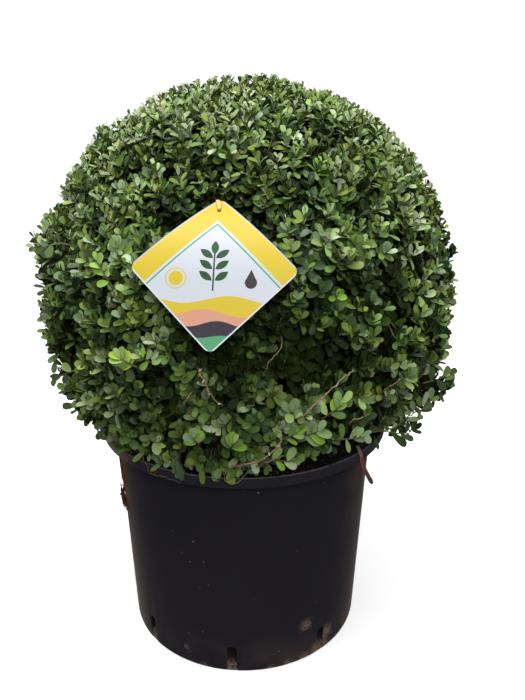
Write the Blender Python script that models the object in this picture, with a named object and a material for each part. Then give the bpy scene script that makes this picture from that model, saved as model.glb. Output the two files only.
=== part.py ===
"""Potted Japanese holly ball: a clipped evergreen shrub in a round black nursery pot.

Metres, +Z up. The origin is the middle of the pot's flat underside, and the label faces -Y.
Azimuths are degrees round the pot's axis from -Y towards +X; elevations are degrees above level.
"""

import math

import bmesh
import bpy
from mathutils import Vector, noise
from mathutils.bvhtree import BVHTree

# Clearance between pieces that touch
GAP = 0.0003

# Pot: a tapered plastic container of 40 cm across its rim, with a stepped collar
RIM_RADIUS = 0.2015
RIM_FOOT_RADIUS = 0.2000
RIM_TOP = 0.3205
COLLAR_HEIGHT = 0.0157
SHOULDER_RADIUS = 0.1807
BASE_RADIUS = 0.1678
BASE_ROUNDING = 0.004
POT_WALL = 0.0025
BASE_THICKNESS = 0.003
RIM_ROUNDING = 0.0008
POT_SIDES = 48
SLOT_COUNT = 8
SLOT_WIDTH = 0.014
SLOT_HEIGHT = 0.043
SLOT_INNER_RADIUS = 0.150
SLOT_AZIMUTH = -6.5

# Compost: fills the pot to just under the collar's step and rises to the stem
COMPOST_EDGE = 0.2985
COMPOST_TOP = 0.3060
COMPOST_FLAT_RADIUS = 0.045

# Stem and boughs: a short clear stem with a root flare and a swollen fork
FORK_HEIGHT = 0.352
FORK_RADIUS = 0.0175
STEM_RADIUS = 0.0150
FLARE_RADIUS = 0.0260
STEM_LEAN = 0.003
STEM_SIDES = 12
BOUGH_BASE_RADIUS = 0.0056
BOUGH_TIP_RADIUS = 0.0038
TIP_CLEARANCE = 0.0007
BOUGH_BEND = 0.006
BOUGH_SIDES = 8
BOUGH_RINGS = 6
LOW_BOUGHS = {"count": 5, "elevation": 25.0, "azimuth": 14.0}
HIGH_BOUGHS = {"count": 3, "elevation": 61.0, "azimuth": 50.0}

# Crown: one clipped ball round a hollow of bare boughs
CROWN_CENTRE = Vector((0.0067, 0.0, 0.4907))
CROWN_RADIUS = 0.272
CROWN_ROUGHNESS = 0.0045
CROWN_GRAIN = 5.5
HOLLOW_RADIUS = 0.105
HEM_CLEARANCE = 0.003
HEM_LIFT = 0.020
HEM_INNER_RADIUS = 0.190
HEM_WIDTH = 0.050
HEM_PHASE = 40.0
DENT = {"azimuth": -8.0, "elevation": 38.5, "depth": 0.027, "across": 0.050, "down": 0.034}

# Sprays that stand proud of the clipped ball: azimuth, elevation, reach past it, width, height
SPRAYS = {
    "spray_left": (-77.0, 18.0, 0.013, 0.064, 0.084),
    "spray_upper_left": (-82.0, 51.0, 0.008, 0.046, 0.050),
    "spray_right": (76.0, 14.0, 0.007, 0.050, 0.066),
    "spray_lower_right": (65.0, -18.5, 0.021, 0.044, 0.060),
    "sprig_over_rim_right": (56.5, -32.5, 0.020, 0.036, 0.034),
    "spray_lower_left": (-60.0, -24.0, 0.008, 0.070, 0.056),
    "spray_back_left": (-142.0, -8.0, 0.010, 0.060, 0.064),
    "spray_back_right": (133.0, 22.0, 0.009, 0.056, 0.060),
    "spray_back_low": (176.0, -24.0, 0.013, 0.058, 0.048),
}
SPRAY_ROUGHNESS = 0.16

# Skirt: foliage that hangs over the rim at the front left
SKIRT_AZIMUTHS = (-50.0, 2.0)
SKIRT_RADIUS = 0.2120
SKIRT_HALF_WIDTH = 0.0088
SKIRT_HALF_HEIGHT = 0.0170
SKIRT_HEIGHT = 0.3230
SKIRT_RINGS = 13
SKIRT_SIDES = 8

# Label: a square card hung by one corner, curling back towards its tie
LABEL_SIDE = 0.1175
LABEL_CORNER = 0.0080
LABEL_THICKNESS = 0.0008
LABEL_CENTRE = Vector((-0.0288, -0.2614, 0.5866))
LABEL_AZIMUTH = -5.2
LABEL_ELEVATION = 25.3
LABEL_ROLL = -0.8
LABEL_CURL_START = -0.0102
LABEL_CURL_RADIUS = 0.1556
LABEL_ROWS = 22
LABEL_TIP_SHARE = 0.9995
HOLE_RADIUS = 0.0021
HOLE_DROP = 0.0110
TIE_RADIUS = 0.0016
TIE_BEHIND = 0.020
TIE_FRONT = 0.0040


def remove_everything():
    """Starts from an empty scene."""
    for item in list(bpy.data.objects):
        bpy.data.objects.remove(item, do_unlink=True)


def material(name, colour, roughness, metallic=0.0):
    """A plain Principled material."""
    made = bpy.data.materials.new(name)
    made.use_nodes = True
    shader = made.node_tree.nodes["Principled BSDF"]
    shader.inputs["Base Color"].default_value = (*colour, 1.0)
    shader.inputs["Roughness"].default_value = roughness
    shader.inputs["Metallic"].default_value = metallic
    return made


def node(name, bm, finish, smooth=True):
    """Turns a bmesh into a named object of one material, with its faces pointing out."""
    bmesh.ops.recalc_face_normals(bm, faces=bm.faces)
    mesh = bpy.data.meshes.new(name)
    bm.to_mesh(mesh)
    bm.free()
    mesh.materials.append(finish)
    if smooth:
        mesh.shade_smooth()
        mesh.set_sharp_from_angle(angle=math.radians(35))
    made = bpy.data.objects.new(name, mesh)
    bpy.context.scene.collection.objects.link(made)
    return made


def cutter(name, bm):
    """A shape that only cuts others."""
    made = node(name, bm, None, smooth=False)
    made.hide_render = True
    made.display_type = "WIRE"
    return made


def cut(target, tool):
    """Takes one shape out of another."""
    made = target.modifiers.new("cut", "BOOLEAN")
    made.operation = "DIFFERENCE"
    made.solver = "EXACT"
    made.object = tool


def aim(azimuth, elevation):
    """The unit vector at an azimuth and elevation in degrees."""
    a, e = math.radians(azimuth), math.radians(elevation)
    return Vector((math.sin(a) * math.cos(e), -math.cos(a) * math.cos(e), math.sin(e)))


def side_and_up(direction):
    """Level and rising unit vectors square to a direction."""
    side = Vector((0, 0, 1)).cross(direction).normalized()
    return side, direction.cross(side)


def smooth_step(t):
    """0 to 1 with level ends."""
    t = min(max(t, 0.0), 1.0)
    return t * t * (3 - 2 * t)


def circle(radius, sides):
    """Points round a circle."""
    turns = [math.tau * i / sides for i in range(sides)]
    return [(radius * math.cos(t), radius * math.sin(t)) for t in turns]


def turned(profile, sides):
    """A closed solid of revolution: the profile, as (radius, height), runs from axis to axis.

    One that stays off the axis is closed on itself into a ring.
    """
    bm = bmesh.new()
    rings = []
    for radius, height in profile:
        if radius == 0:
            rings.append([bm.verts.new((0, 0, height))])
            continue
        rings.append([bm.verts.new((x, y, height)) for x, y in circle(radius, sides)])
    if profile[0][0] > 0:
        rings.append(rings[0])
    for low, high in zip(rings, rings[1:]):
        for i in range(sides):
            j = (i + 1) % sides
            corners = [low[i % len(low)], low[j % len(low)], high[j % len(high)], high[i % len(high)]]
            bm.faces.new(list(dict.fromkeys(corners)))
    return bm


def closed_tube(bm, rings):
    """Joins rings of as many points each into a tube, and closes its two ends."""
    for first, second in zip(rings, rings[1:]):
        for j in range(len(first)):
            k = (j + 1) % len(first)
            bm.faces.new((first[j], first[k], second[k], second[j]))
    bm.faces.new(rings[0])
    bm.faces.new(rings[-1])


def swept(path, sections):
    """A closed tube along a path: each section is a list of (side, up) offsets in metres."""
    bm = bmesh.new()
    rings = []
    side = None
    for i, (centre, section) in enumerate(zip(path, sections)):
        ahead = path[min(i + 1, len(path) - 1)] - path[max(i - 1, 0)]
        ahead.normalize()
        if side is None:
            side = ahead.orthogonal().normalized()
        side = (side - ahead * side.dot(ahead)).normalized()
        up = ahead.cross(side)
        rings.append([bm.verts.new(centre + side * x + up * y) for x, y in section])
    closed_tube(bm, rings)
    return bm


def wall_radius(height):
    """Outer radius of the pot's tapered wall."""
    shoulder = RIM_TOP - COLLAR_HEIGHT
    return BASE_RADIUS + (SHOULDER_RADIUS - BASE_RADIUS) * height / shoulder


def pot():
    """Thin tapered wall with a flat base and slots round its bottom edge."""
    shoulder = RIM_TOP - COLLAR_HEIGHT
    profile = [
        (0, 0),
        (BASE_RADIUS - BASE_ROUNDING, 0),
        (BASE_RADIUS - 0.3 * BASE_ROUNDING, 0.3 * BASE_ROUNDING),
        (wall_radius(BASE_ROUNDING), BASE_ROUNDING),
        (SHOULDER_RADIUS, shoulder),
        (SHOULDER_RADIUS - POT_WALL, shoulder),
        (wall_radius(BASE_THICKNESS) - POT_WALL, BASE_THICKNESS),
        (0, BASE_THICKNESS),
    ]
    made = node("pot", turned(profile, POT_SIDES), POT_PLASTIC)
    cut(made, slots())


def pot_collar():
    """Collar of the same moulding, stepped out from the wall, as a ring of its own."""
    step = RIM_TOP - COLLAR_HEIGHT + GAP
    profile = [
        (SHOULDER_RADIUS - POT_WALL, step),
        (RIM_FOOT_RADIUS, step),
        (RIM_RADIUS, RIM_TOP - RIM_ROUNDING),
        (RIM_RADIUS - RIM_ROUNDING, RIM_TOP),
        (RIM_RADIUS - POT_WALL, RIM_TOP),
        (RIM_FOOT_RADIUS - POT_WALL, step + POT_WALL),
        (SHOULDER_RADIUS - POT_WALL, step + POT_WALL),
    ]
    node("pot_collar", turned(profile, POT_SIDES), POT_PLASTIC)


def slots():
    """Round-topped drainage slots, open at the base."""
    bm = bmesh.new()
    half = SLOT_WIDTH / 2
    arch = [(half * math.cos(math.pi * i / 6), half * math.sin(math.pi * i / 6)) for i in range(7)]
    outline = [(x, SLOT_HEIGHT - half + z) for x, z in arch] + [(-half, -0.01), (half, -0.01)]
    for index in range(SLOT_COUNT):
        out = aim(SLOT_AZIMUTH + 360 * index / SLOT_COUNT, 0)
        side = Vector((0, 0, 1)).cross(out)
        ends = []
        for radius in (SLOT_INNER_RADIUS, BASE_RADIUS + 0.01):
            middle = out * radius
            ends.append([bm.verts.new(middle + side * x + Vector((0, 0, z))) for x, z in outline])
        closed_tube(bm, ends)
    return cutter("slot_cutter", bm)


def compost():
    """Root ball and compost, which fill the pot."""
    floor = BASE_THICKNESS + GAP
    profile = [
        (0, floor),
        (wall_radius(floor) - POT_WALL - 2 * GAP, floor),
        (wall_radius(COMPOST_EDGE) - POT_WALL - 2 * GAP, COMPOST_EDGE),
        (COMPOST_FLAT_RADIUS, COMPOST_TOP),
        (0, COMPOST_TOP),
    ]
    node("compost", turned(profile, POT_SIDES), COMPOST)


def main_stem():
    """Short stem, flared where it meets the compost and swollen at its fork."""
    foot = COMPOST_TOP + GAP
    rise = FORK_HEIGHT - foot
    shape = [(0.0, FLARE_RADIUS), (0.12, 0.0205), (0.30, 0.0165), (0.52, STEM_RADIUS), (0.74, 0.0160)]
    lean = [STEM_LEAN * (1 - smooth_step((t - 0.12) / 0.62)) for t, _ in shape]
    path = [Vector((x, 0, foot + rise * t)) for x, (t, _) in zip(lean, shape)]
    radii = [radius for _, radius in shape]
    for degrees in (0, 35, 60, 78):
        turn = math.radians(degrees)
        path.append(Vector((0, 0, FORK_HEIGHT + FORK_RADIUS * math.sin(turn))))
        radii.append(FORK_RADIUS * math.cos(turn))
    sections = [circle(radius, STEM_SIDES) for radius in radii]
    node("main_stem", swept(path, sections), BARK)


def boughs(crown_tree):
    """Tapering limbs that spread from the fork and end where they enter the crown."""
    index = 0
    fork = Vector((0, 0, FORK_HEIGHT))
    for tier in (LOW_BOUGHS, HIGH_BOUGHS):
        for i in range(tier["count"]):
            index += 1
            azimuth = tier["azimuth"] + 360 * i / tier["count"]
            heading = aim(azimuth, tier["elevation"])
            side, up = side_and_up(heading)
            starts = [fork + side * x + up * y for x, y in circle(BOUGH_TIP_RADIUS, BOUGH_SIDES)]
            far = min(crown_tree.ray_cast(start, heading)[3] for start in [fork, *starts]) - TIP_CLEARANCE
            near = FORK_RADIUS + 2 * GAP
            path, sections = [], []
            for j in range(BOUGH_RINGS):
                t = j / (BOUGH_RINGS - 1)
                bend = BOUGH_BEND * math.sin(math.pi * t) ** 2 * (-1) ** index
                path.append(fork + heading * (near + (far - near) * t) + side * bend)
                radius = BOUGH_BASE_RADIUS + (BOUGH_TIP_RADIUS - BOUGH_BASE_RADIUS) * t
                sections.append(circle(radius, BOUGH_SIDES))
            node(f"bough_{index}", swept(path, sections), BARK)


def crown_radius(direction):
    """Distance from the crown's centre to its clipped surface."""
    seed = Vector((3.1, 7.7, 1.9))
    grain = noise.noise(direction * CROWN_GRAIN + seed)
    grain += 0.5 * noise.noise(direction * 2.1 * CROWN_GRAIN - seed)
    centre = aim(DENT["azimuth"], DENT["elevation"])
    side, up = side_and_up(centre)
    across = direction.dot(side) * CROWN_RADIUS / DENT["across"]
    down = direction.dot(up) * CROWN_RADIUS / DENT["down"]
    facing = 1.0 if direction.dot(centre) > 0 else 0.0
    dent = facing * DENT["depth"] * math.exp(-0.5 * (across * across + down * down))
    return CROWN_RADIUS + CROWN_ROUGHNESS * grain - dent


def hem_height(x, y):
    """Height of the crown's underside: close over the rim, and lifted outside it on some sides."""
    azimuth = math.degrees(math.atan2(x, -y))
    lift = HEM_LIFT * (1 + math.sin(math.radians(2 * azimuth + HEM_PHASE)))
    outside = smooth_step((math.hypot(x, y) - HEM_INNER_RADIUS) / HEM_WIDTH)
    return RIM_TOP + HEM_CLEARANCE + lift * outside


def crown_shape(swell):
    """The clipped ball with its underside cut level, grown by swell."""
    bm = bmesh.new()
    bmesh.ops.create_icosphere(bm, subdivisions=5, radius=1.0)
    for vert in bm.verts:
        direction = vert.co.normalized()
        place = CROWN_CENTRE + direction * (crown_radius(direction) + swell)
        place.z = max(place.z, hem_height(place.x, place.y) - swell)
        vert.co = place
    return bm


def crown():
    """The clipped ball, hollow over the fork, and its tree of faces."""
    made = node("clipped_ball", crown_shape(0.0), FOLIAGE)
    bm = bmesh.new()
    bmesh.ops.create_icosphere(bm, subdivisions=3, radius=HOLLOW_RADIUS)
    bmesh.ops.translate(bm, verts=bm.verts, vec=(0, 0, FORK_HEIGHT))
    cut(made, cutter("hollow_cutter", bm))
    bpy.context.view_layer.update()
    return BVHTree.FromObject(made, bpy.context.evaluated_depsgraph_get())


def sprays(keep_off):
    """Uneven tufts of unclipped shoots, seated on the ball."""
    for index, (name, shape) in enumerate(SPRAYS.items()):
        azimuth, elevation, reach, width, height = shape
        heading = aim(azimuth, elevation)
        side, up = side_and_up(heading)
        depth = reach + 0.020
        centre = CROWN_CENTRE + heading * (CROWN_RADIUS + reach - depth)
        bm = bmesh.new()
        bmesh.ops.create_icosphere(bm, subdivisions=3, radius=1.0)
        for vert in bm.verts:
            way = vert.co.normalized()
            grain = noise.noise(way * 2.3 + Vector((index * 5.7, 1.3, 0.4)))
            grow = 1 + SPRAY_ROUGHNESS * grain
            across = side * way.x * width / 2 + up * way.y * height / 2
            vert.co = centre + (across + heading * way.z * depth) * grow
        cut(node(name, bm, FOLIAGE), keep_off)


def skirt(keep_off):
    """Shoots that hang outside the rim at the front left."""
    first, last = SKIRT_AZIMUTHS
    upward = Vector((0, 0, 1))
    bm = bmesh.new()
    rings = []
    for j in range(SKIRT_RINGS):
        t = j / (SKIRT_RINGS - 1)
        out = aim(first + (last - first) * t, 0)
        grow = max(math.sin(math.pi * t) ** 0.5, 0.12)
        grow *= 1 + 0.25 * noise.noise(Vector((t * 6.0, 2.2, 5.1))) * math.sin(math.pi * t)
        height, width = upward * SKIRT_HALF_HEIGHT * grow, out * SKIRT_HALF_WIDTH * grow
        centre = out * SKIRT_RADIUS + upward * SKIRT_HEIGHT
        section = circle(1.0, SKIRT_SIDES)
        rings.append([bm.verts.new(centre + height * x + width * y) for x, y in section])
    closed_tube(bm, rings)
    cut(node("skirt_front_left", bm, FOLIAGE), keep_off)


def label_axes():
    """Normal, level side and rising diagonal of the card's flat part."""
    normal = aim(LABEL_AZIMUTH, LABEL_ELEVATION)
    side, up = side_and_up(normal)
    roll = math.radians(LABEL_ROLL)
    level = side * math.cos(roll) + up * math.sin(roll)
    return normal, level, normal.cross(level)


def label_frame(rise):
    """Middle of the curled card at a distance up its diagonal, and its normal there."""
    normal, _, up = label_axes()
    turn = max(rise - LABEL_CURL_START, 0.0) / LABEL_CURL_RADIUS
    along = min(rise, LABEL_CURL_START) + LABEL_CURL_RADIUS * math.sin(turn)
    back = LABEL_CURL_RADIUS * (1 - math.cos(turn))
    place = LABEL_CENTRE + up * along - normal * back
    return place, normal * math.cos(turn) + up * math.sin(turn)


def label_half_width(rise):
    """Half the width of a square on its corner, with rounded corners."""
    half = LABEL_SIDE / math.sqrt(2)
    centre = half - LABEL_CORNER * math.sqrt(2)
    turn_in = LABEL_CORNER / math.sqrt(2)
    if abs(rise) <= turn_in:
        return centre + math.sqrt(LABEL_CORNER**2 - rise**2)
    if abs(rise) <= half - turn_in:
        return half - abs(rise)
    return math.sqrt(max(LABEL_CORNER**2 - (abs(rise) - centre) ** 2, 0.0))


def label_top():
    """Distance up the card's diagonal from its middle to its rounded tip."""
    return LABEL_SIDE / math.sqrt(2) - LABEL_CORNER * (math.sqrt(2) - 1)


def label_pin(radius, behind, front):
    """A round bar square to the card at its hole."""
    place, normal = label_frame(label_top() - HOLE_DROP)
    sections = [circle(radius, STEM_SIDES)] * 2
    return swept([place - normal * behind, place + normal * front], sections)


def label():
    """Plastic card with one hole near its upper corner."""
    _, level, _ = label_axes()
    bm = bmesh.new()
    rows = []
    for j in range(LABEL_ROWS + 1):
        rise = -LABEL_TIP_SHARE * label_top() * math.cos(math.pi * j / LABEL_ROWS)
        place, normal = label_frame(rise)
        across = level * label_half_width(rise)
        deep = normal * LABEL_THICKNESS / 2
        corners = (place - across + deep, place + across + deep)
        corners += (place + across - deep, place - across - deep)
        rows.append([bm.verts.new(corner) for corner in corners])
    closed_tube(bm, rows)
    reach = 5 * LABEL_THICKNESS
    hole = cutter("hole_cutter", label_pin(HOLE_RADIUS, reach, reach))
    cut(node("label", bm, CARD, smooth=False), hole)


def label_tie(keep_off):
    """Twig that comes out of the crown through the card's hole."""
    cut(node("label_tie", label_pin(TIE_RADIUS, TIE_BEHIND, TIE_FRONT), BARK), keep_off)


remove_everything()
POT_PLASTIC = material("pot_plastic", (0.013, 0.012, 0.015), 0.42)
COMPOST = material("compost", (0.030, 0.018, 0.011), 0.95)
BARK = material("bark", (0.150, 0.105, 0.070), 0.85)
FOLIAGE = material("foliage", (0.045, 0.095, 0.030), 0.50)
CARD = material("label_card", (0.820, 0.800, 0.700), 0.30)

pot()
pot_collar()
compost()
main_stem()
boughs(crown())
grown_crown = cutter("crown_cutter", crown_shape(2 * GAP))
sprays(grown_crown)
skirt(grown_crown)
label()
label_tie(grown_crown)
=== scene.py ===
"""Clipped Japanese holly ball in a nursery pot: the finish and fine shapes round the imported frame.

Metres, +Z up, the label facing -Y. Azimuths are degrees round the pot from -Y towards +X.
"""

import math

import bmesh
import bpy
import numpy as np
from mathutils import Euler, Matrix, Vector


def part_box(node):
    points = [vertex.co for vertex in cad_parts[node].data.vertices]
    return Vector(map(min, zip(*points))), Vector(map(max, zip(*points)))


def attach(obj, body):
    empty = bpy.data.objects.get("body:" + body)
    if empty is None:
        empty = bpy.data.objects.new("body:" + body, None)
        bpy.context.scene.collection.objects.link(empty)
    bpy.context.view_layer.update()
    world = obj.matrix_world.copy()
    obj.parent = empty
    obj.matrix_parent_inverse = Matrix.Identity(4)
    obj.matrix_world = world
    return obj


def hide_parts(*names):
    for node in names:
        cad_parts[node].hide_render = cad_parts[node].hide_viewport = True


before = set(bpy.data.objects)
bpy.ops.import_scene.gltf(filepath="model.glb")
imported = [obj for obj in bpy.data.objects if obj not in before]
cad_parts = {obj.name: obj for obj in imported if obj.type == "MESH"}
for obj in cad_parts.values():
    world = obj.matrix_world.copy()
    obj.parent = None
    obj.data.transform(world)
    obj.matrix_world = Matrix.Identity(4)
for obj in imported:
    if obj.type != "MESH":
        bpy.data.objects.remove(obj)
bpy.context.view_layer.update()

# ------------------------------------------------------------------------------------------
# Pot: a black polypropylene container, moulded in one piece, with a tapered wall, a collar
# stepped out round its top and round-headed drainage slots cut up from its foot. It is dull
# from handling and dusty towards its sides, where the paler dust is partly painted sheen; a
# painted highlight runs round its lip, and soil has dried on it round the slots.
# Spots on the wall are rows of azimuth, height, reach and, where it varies, strength.

POT_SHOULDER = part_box("pot")[1]
POT_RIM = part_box("pot_collar")[1]
COLLAR_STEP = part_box("pot_collar")[0].z
FOOT_RADIUS = 0.1678
WALL_TAPER = (POT_SHOULDER.x - FOOT_RADIUS) / POT_SHOULDER.z
COLLAR_FOOT_RADIUS = 0.2000
WALL = 0.0025
LIP = 0.0010
LIP_STEPS = 8
OUTER_ARCS = (0, 0.004, 0, 0.0010, 0.0012)
INNER_ARCS = (0, 0.0015, 0, 0.0035, 0.0006)
RUN_PARTS = (6, 3, 6, 28, 4, 5)
SLOTS = 8
SLOT_STEP = 360 / SLOTS
SLOT_AZIMUTH = -6.5
SLOT_HALF = 0.007
SLOT_SPRING = 0.036
SLOT_INNER = 0.150
SLOT_FADE = 0.060
SLOT_PARTS = 8
PANEL_PARTS = 24
POT_CREASE = 50
POT_BLACK = (0.0162, 0.0146, 0.0205, 1)
# A pale grey painted round the lip as a highlight, and laid thinly over the collar.
POT_PALE_GREY = (0.110, 0.108, 0.122, 1)
POT_GLOSS = {"Roughness": 0.5, "Specular IOR Level": 0.14}
DUST_SHEEN = {"Sheen Weight": 0.17, "Sheen Roughness": 0.28, "Sheen Tint": (1.0, 0.82, 0.74, 1)}
# Paler dust towards the left and right sides as seen from the front: partly real dust, partly painted sheen
# where the wall turns away.
DUST_AND_SHEEN_RIGHT = (0.120, 0.190)
DUST_AND_SHEEN_LEFT = (-0.126, -0.190)
DUSTY_FOOT = 0.075
POT_DUST_AND_SHEEN = (0.200, 0.125, 0.097, 1)
POT_SOIL = (0.230, 0.150, 0.100, 1)
POT_SPECK = (0.40, 0.37, 0.36, 1)
SPECK_SHARE = 0.42
DOT_SCALE = 90.0
POT_RUST = (0.150, 0.062, 0.028, 1)
RUST_RADIUS = 0.180
COLLAR_DUST = (0.300, 0.205, 0.145, 1)
COLLAR_DUSTY = (-0.130, -0.180)
RUST_SPOTS = [(-76.0, 0.256, 0.032, 0.95), (-68.0, 0.283, 0.030, 0.60), (56.0, 0.264, 0.030, 0.25)]
SOIL_SPOTS = [(28.9, 0.061, 0.022, 0.90), (42.0, 0.028, 0.026, 1.00), (38.0, 0.006, 0.034, 1.10),
              (20.4, 0.000, 0.022, 0.90), (11.4, 0.003, 0.012, 0.80), (28.9, 0.000, 0.026, 1.00),
              (-28.7, 0.026, 0.013, 0.60), (5.5, 0.009, 0.006, 0.70), (-51.5, 0.008, 0.018, 1.00),
              (-64.0, 0.006, 0.024, 0.90), (-74.0, 0.020, 0.036, 1.00), (-6.5, 0.002, 0.012, 0.90),
              (-20.0, 0.002, 0.014, 0.60), (120.0, 0.030, 0.030, 1.00), (196.0, 0.014, 0.036, 1.00),
              (-110.0, 0.050, 0.018, 0.70)]
SPECKS = [(-22.0, 0.2080, 0.0017), (-24.1, 0.1749, 0.0012), (-17.7, 0.1791, 0.0014),
          (-20.1, 0.1372, 0.0008), (-16.0, 0.1436, 0.0009), (44.4, 0.2836, 0.0010),
          (33.8, 0.2831, 0.0011), (34.3, 0.0928, 0.0009), (15.6, 0.0292, 0.0012),
          (-19.7, 0.0624, 0.0011), (-27.1, 0.0525, 0.0010), (-31.6, 0.2155, 0.0009),
          (-27.9, 0.1859, 0.0009), (5.2, 0.2875, 0.0019), (5.2, 0.2915, 0.0008), (5.2, 0.2950, 0.0007)]
UP = np.array([0, 0, 1.0])


def unit(vectors):
    """Each vector divided by its length."""
    return vectors / np.maximum(np.linalg.norm(vectors, axis=-1, keepdims=True), 1e-12)


def aim(azimuth, elevation=0.0):
    """Unit vectors at azimuth a and elevation e: (sin a cos e, -cos a cos e, sin e)."""
    a, e = np.broadcast_arrays(np.radians(azimuth), np.radians(elevation))
    return np.stack([np.sin(a) * np.cos(e), -np.cos(a) * np.cos(e), np.sin(e)], axis=-1)


def section(corners, radii, parts, steps=4):
    """Rows along a section from its first corner to its last. A corner with a radius is an arc
    that meets its two runs at radius x tan(half the turn). A run is cut into its number of
    parts, closer together near its ends: (1 - cos(pi k / parts)) / 2."""
    corners = np.array(corners, float)
    runs = unit(np.diff(corners, axis=0))
    stops = [[corners[0]]]
    for corner, before, after, radius in zip(corners[1:-1], runs, runs[1:], radii):
        turn = math.acos(np.clip(before @ after, -1, 1))
        back = radius * math.tan(turn / 2)
        if back < 1e-7:
            stops.append([corner])
            continue
        start, end = corner - before * back, corner + after * back
        centre = corner + unit(after - before) * radius / math.cos(turn / 2)
        share = np.linspace(0, 1, steps + 1)[:, None]
        weights = np.sin((1 - share) * turn), np.sin(share * turn)
        arc = centre + (weights[0] * (start - centre) + weights[1] * (end - centre)) / math.sin(turn)
        stops.append(list(arc))
    stops.append([corners[-1]])
    rows = list(stops[0])
    for before, after, count in zip(stops, stops[1:], parts):
        share = (1 - np.cos(np.pi * np.arange(1, count) / count)) / 2
        rows += [before[-1] + (after[0] - before[-1]) * s for s in share]
        rows += after
    return np.array(rows)


def grid_faces(index, closed=False):
    """Quads between neighbours of an index grid; a closed grid joins its last column to its first."""
    right = np.roll(index, -1, axis=-1)
    quads = np.stack([index[..., :-1, :], right[..., :-1, :], right[..., 1:, :], index[..., 1:, :]], -1)
    return quads if closed else quads[..., :-1, :]


def new_piece(name, points, faces, finish, merge=0.0):
    """A smooth mesh object from points and arrays of faces with as many corners each. Points
    nearer than merge become one, which closes a pole, and then the faces are turned outwards."""
    corners = np.concatenate([np.ravel(group) for group in faces])
    sizes = np.concatenate([np.full(np.size(group) // np.shape(group)[-1], np.shape(group)[-1])
                            for group in faces])
    mesh = bpy.data.meshes.new(name)
    mesh.vertices.add(len(points))
    mesh.vertices.foreach_set("co", np.asarray(points, np.float32).ravel())
    mesh.loops.add(len(corners))
    mesh.loops.foreach_set("vertex_index", corners.astype(np.int32))
    mesh.polygons.add(len(sizes))
    starts = np.concatenate([[0], np.cumsum(sizes)[:-1]])
    mesh.polygons.foreach_set("loop_start", starts.astype(np.int32))
    mesh.update(calc_edges=True)
    if merge:
        bm = bmesh.new()
        bm.from_mesh(mesh)
        bmesh.ops.remove_doubles(bm, verts=bm.verts, dist=merge)
        bmesh.ops.recalc_face_normals(bm, faces=bm.faces)
        bm.to_mesh(mesh)
        bm.free()
    mesh.shade_smooth()
    mesh.materials.append(finish)
    made = bpy.data.objects.new(name, mesh)
    bpy.context.scene.collection.objects.link(made)
    return made


class Signal:
    """A shader value, so that sums on it add the Math nodes."""

    def __init__(self, network, socket):
        self.network, self.socket = network, socket

    def reckon(self, operation, *terms):
        return self.network.node("ShaderNodeMath", {"operation": operation}, dict(enumerate(terms)))

    def __add__(self, other):
        return self.reckon("ADD", self, other)

    def __sub__(self, other):
        return self.reckon("SUBTRACT", self, other)

    def __rsub__(self, other):
        return self.reckon("SUBTRACT", other, self)

    def __mul__(self, other):
        return self.reckon("MULTIPLY", self, other)

    def __truediv__(self, other):
        return self.reckon("DIVIDE", self, other)

    def __abs__(self):
        return self.reckon("ABSOLUTE", self)

    def most(self, other):
        return self.reckon("MAXIMUM", self, other)

    def least(self, other):
        return self.reckon("MINIMUM", self, other)

    def sine(self):
        return self.reckon("SINE", self)

    def ease(self, low, high):
        """0 at low and 1 at high with level ends; low may be the greater."""
        return self.network.node("ShaderNodeMapRange", {"interpolation_type": "SMOOTHSTEP"},
                                 {0: self, 1: low, 2: high})

    __radd__ = __add__
    __rmul__ = __mul__


class Network:
    """A node tree, and the one way to add a node to it."""

    def __init__(self, tree):
        self.tree = tree

    def node(self, kind, settings, sockets, output=0):
        """Adds a node: its settings, then its sockets' values or links."""
        made = self.tree.nodes.new(kind)
        for key, value in settings.items():
            setattr(made, key, value)
        for key, value in sockets.items():
            if isinstance(value, Signal):
                self.tree.links.new(value.socket, made.inputs[key])
            else:
                made.inputs[key].default_value = value
        return Signal(self, made.outputs[output])

    def axes(self, place):
        """The three coordinates of a place as values of their own."""
        made = self.node("ShaderNodeSeparateXYZ", {}, {0: place})
        return [Signal(self, socket) for socket in made.socket.node.outputs]

    def apart(self, place, point):
        """How far a place is from a fixed point."""
        sockets = {0: place, 1: tuple(point)}
        return self.node("ShaderNodeVectorMath", {"operation": "DISTANCE"}, sockets, "Value")


class Finish(Network):
    """A material in the making, with its Principled shader."""

    def __init__(self, name, sockets):
        self.material = bpy.data.materials.new(name)
        self.material.use_nodes = True
        super().__init__(self.material.node_tree)
        self.shader = self.tree.nodes["Principled BSDF"]
        for key, value in sockets.items():
            self.shader.inputs[key].default_value = value
        self.place = self.node("ShaderNodeTexCoord", {}, {}, "Object")

    def noise(self, scale, detail=3.0, roughness=0.55, place=None):
        """Soft noise of about 0.5 whose lumps are 1 / scale metres wide."""
        sockets = {"Vector": place or self.place, "Scale": scale, "Detail": detail, "Roughness": roughness}
        return self.node("ShaderNodeTexNoise", {}, sockets)

    def stretched(self, scale):
        """Object coordinates multiplied by a scale of their own along each axis."""
        return self.node("ShaderNodeMapping", {}, {"Vector": self.place, "Scale": scale})

    def distance(self, point):
        """Distance in metres from a point of the frame."""
        return self.apart(self.place, point)

    def blend(self, share, under, over):
        """The colour over, laid on the colour under by a share of 0 to 1."""
        return self.node("ShaderNodeMix", {"data_type": "RGBA"}, {0: share, 6: under, 7: over}, 2)

    def feed(self, **signals):
        """Links signals to the shader's sockets, named with _ for a space."""
        for key, signal in signals.items():
            self.tree.links.new(signal.socket, self.shader.inputs[key.replace("_", " ")])

    def relief(self, height, depth, strength=1.0):
        """Bump of a height signal: 1 stands for depth metres."""
        bump = self.node("ShaderNodeBump", {}, {"Height": height, "Distance": depth, "Strength": strength})
        self.feed(Normal=bump)


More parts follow.
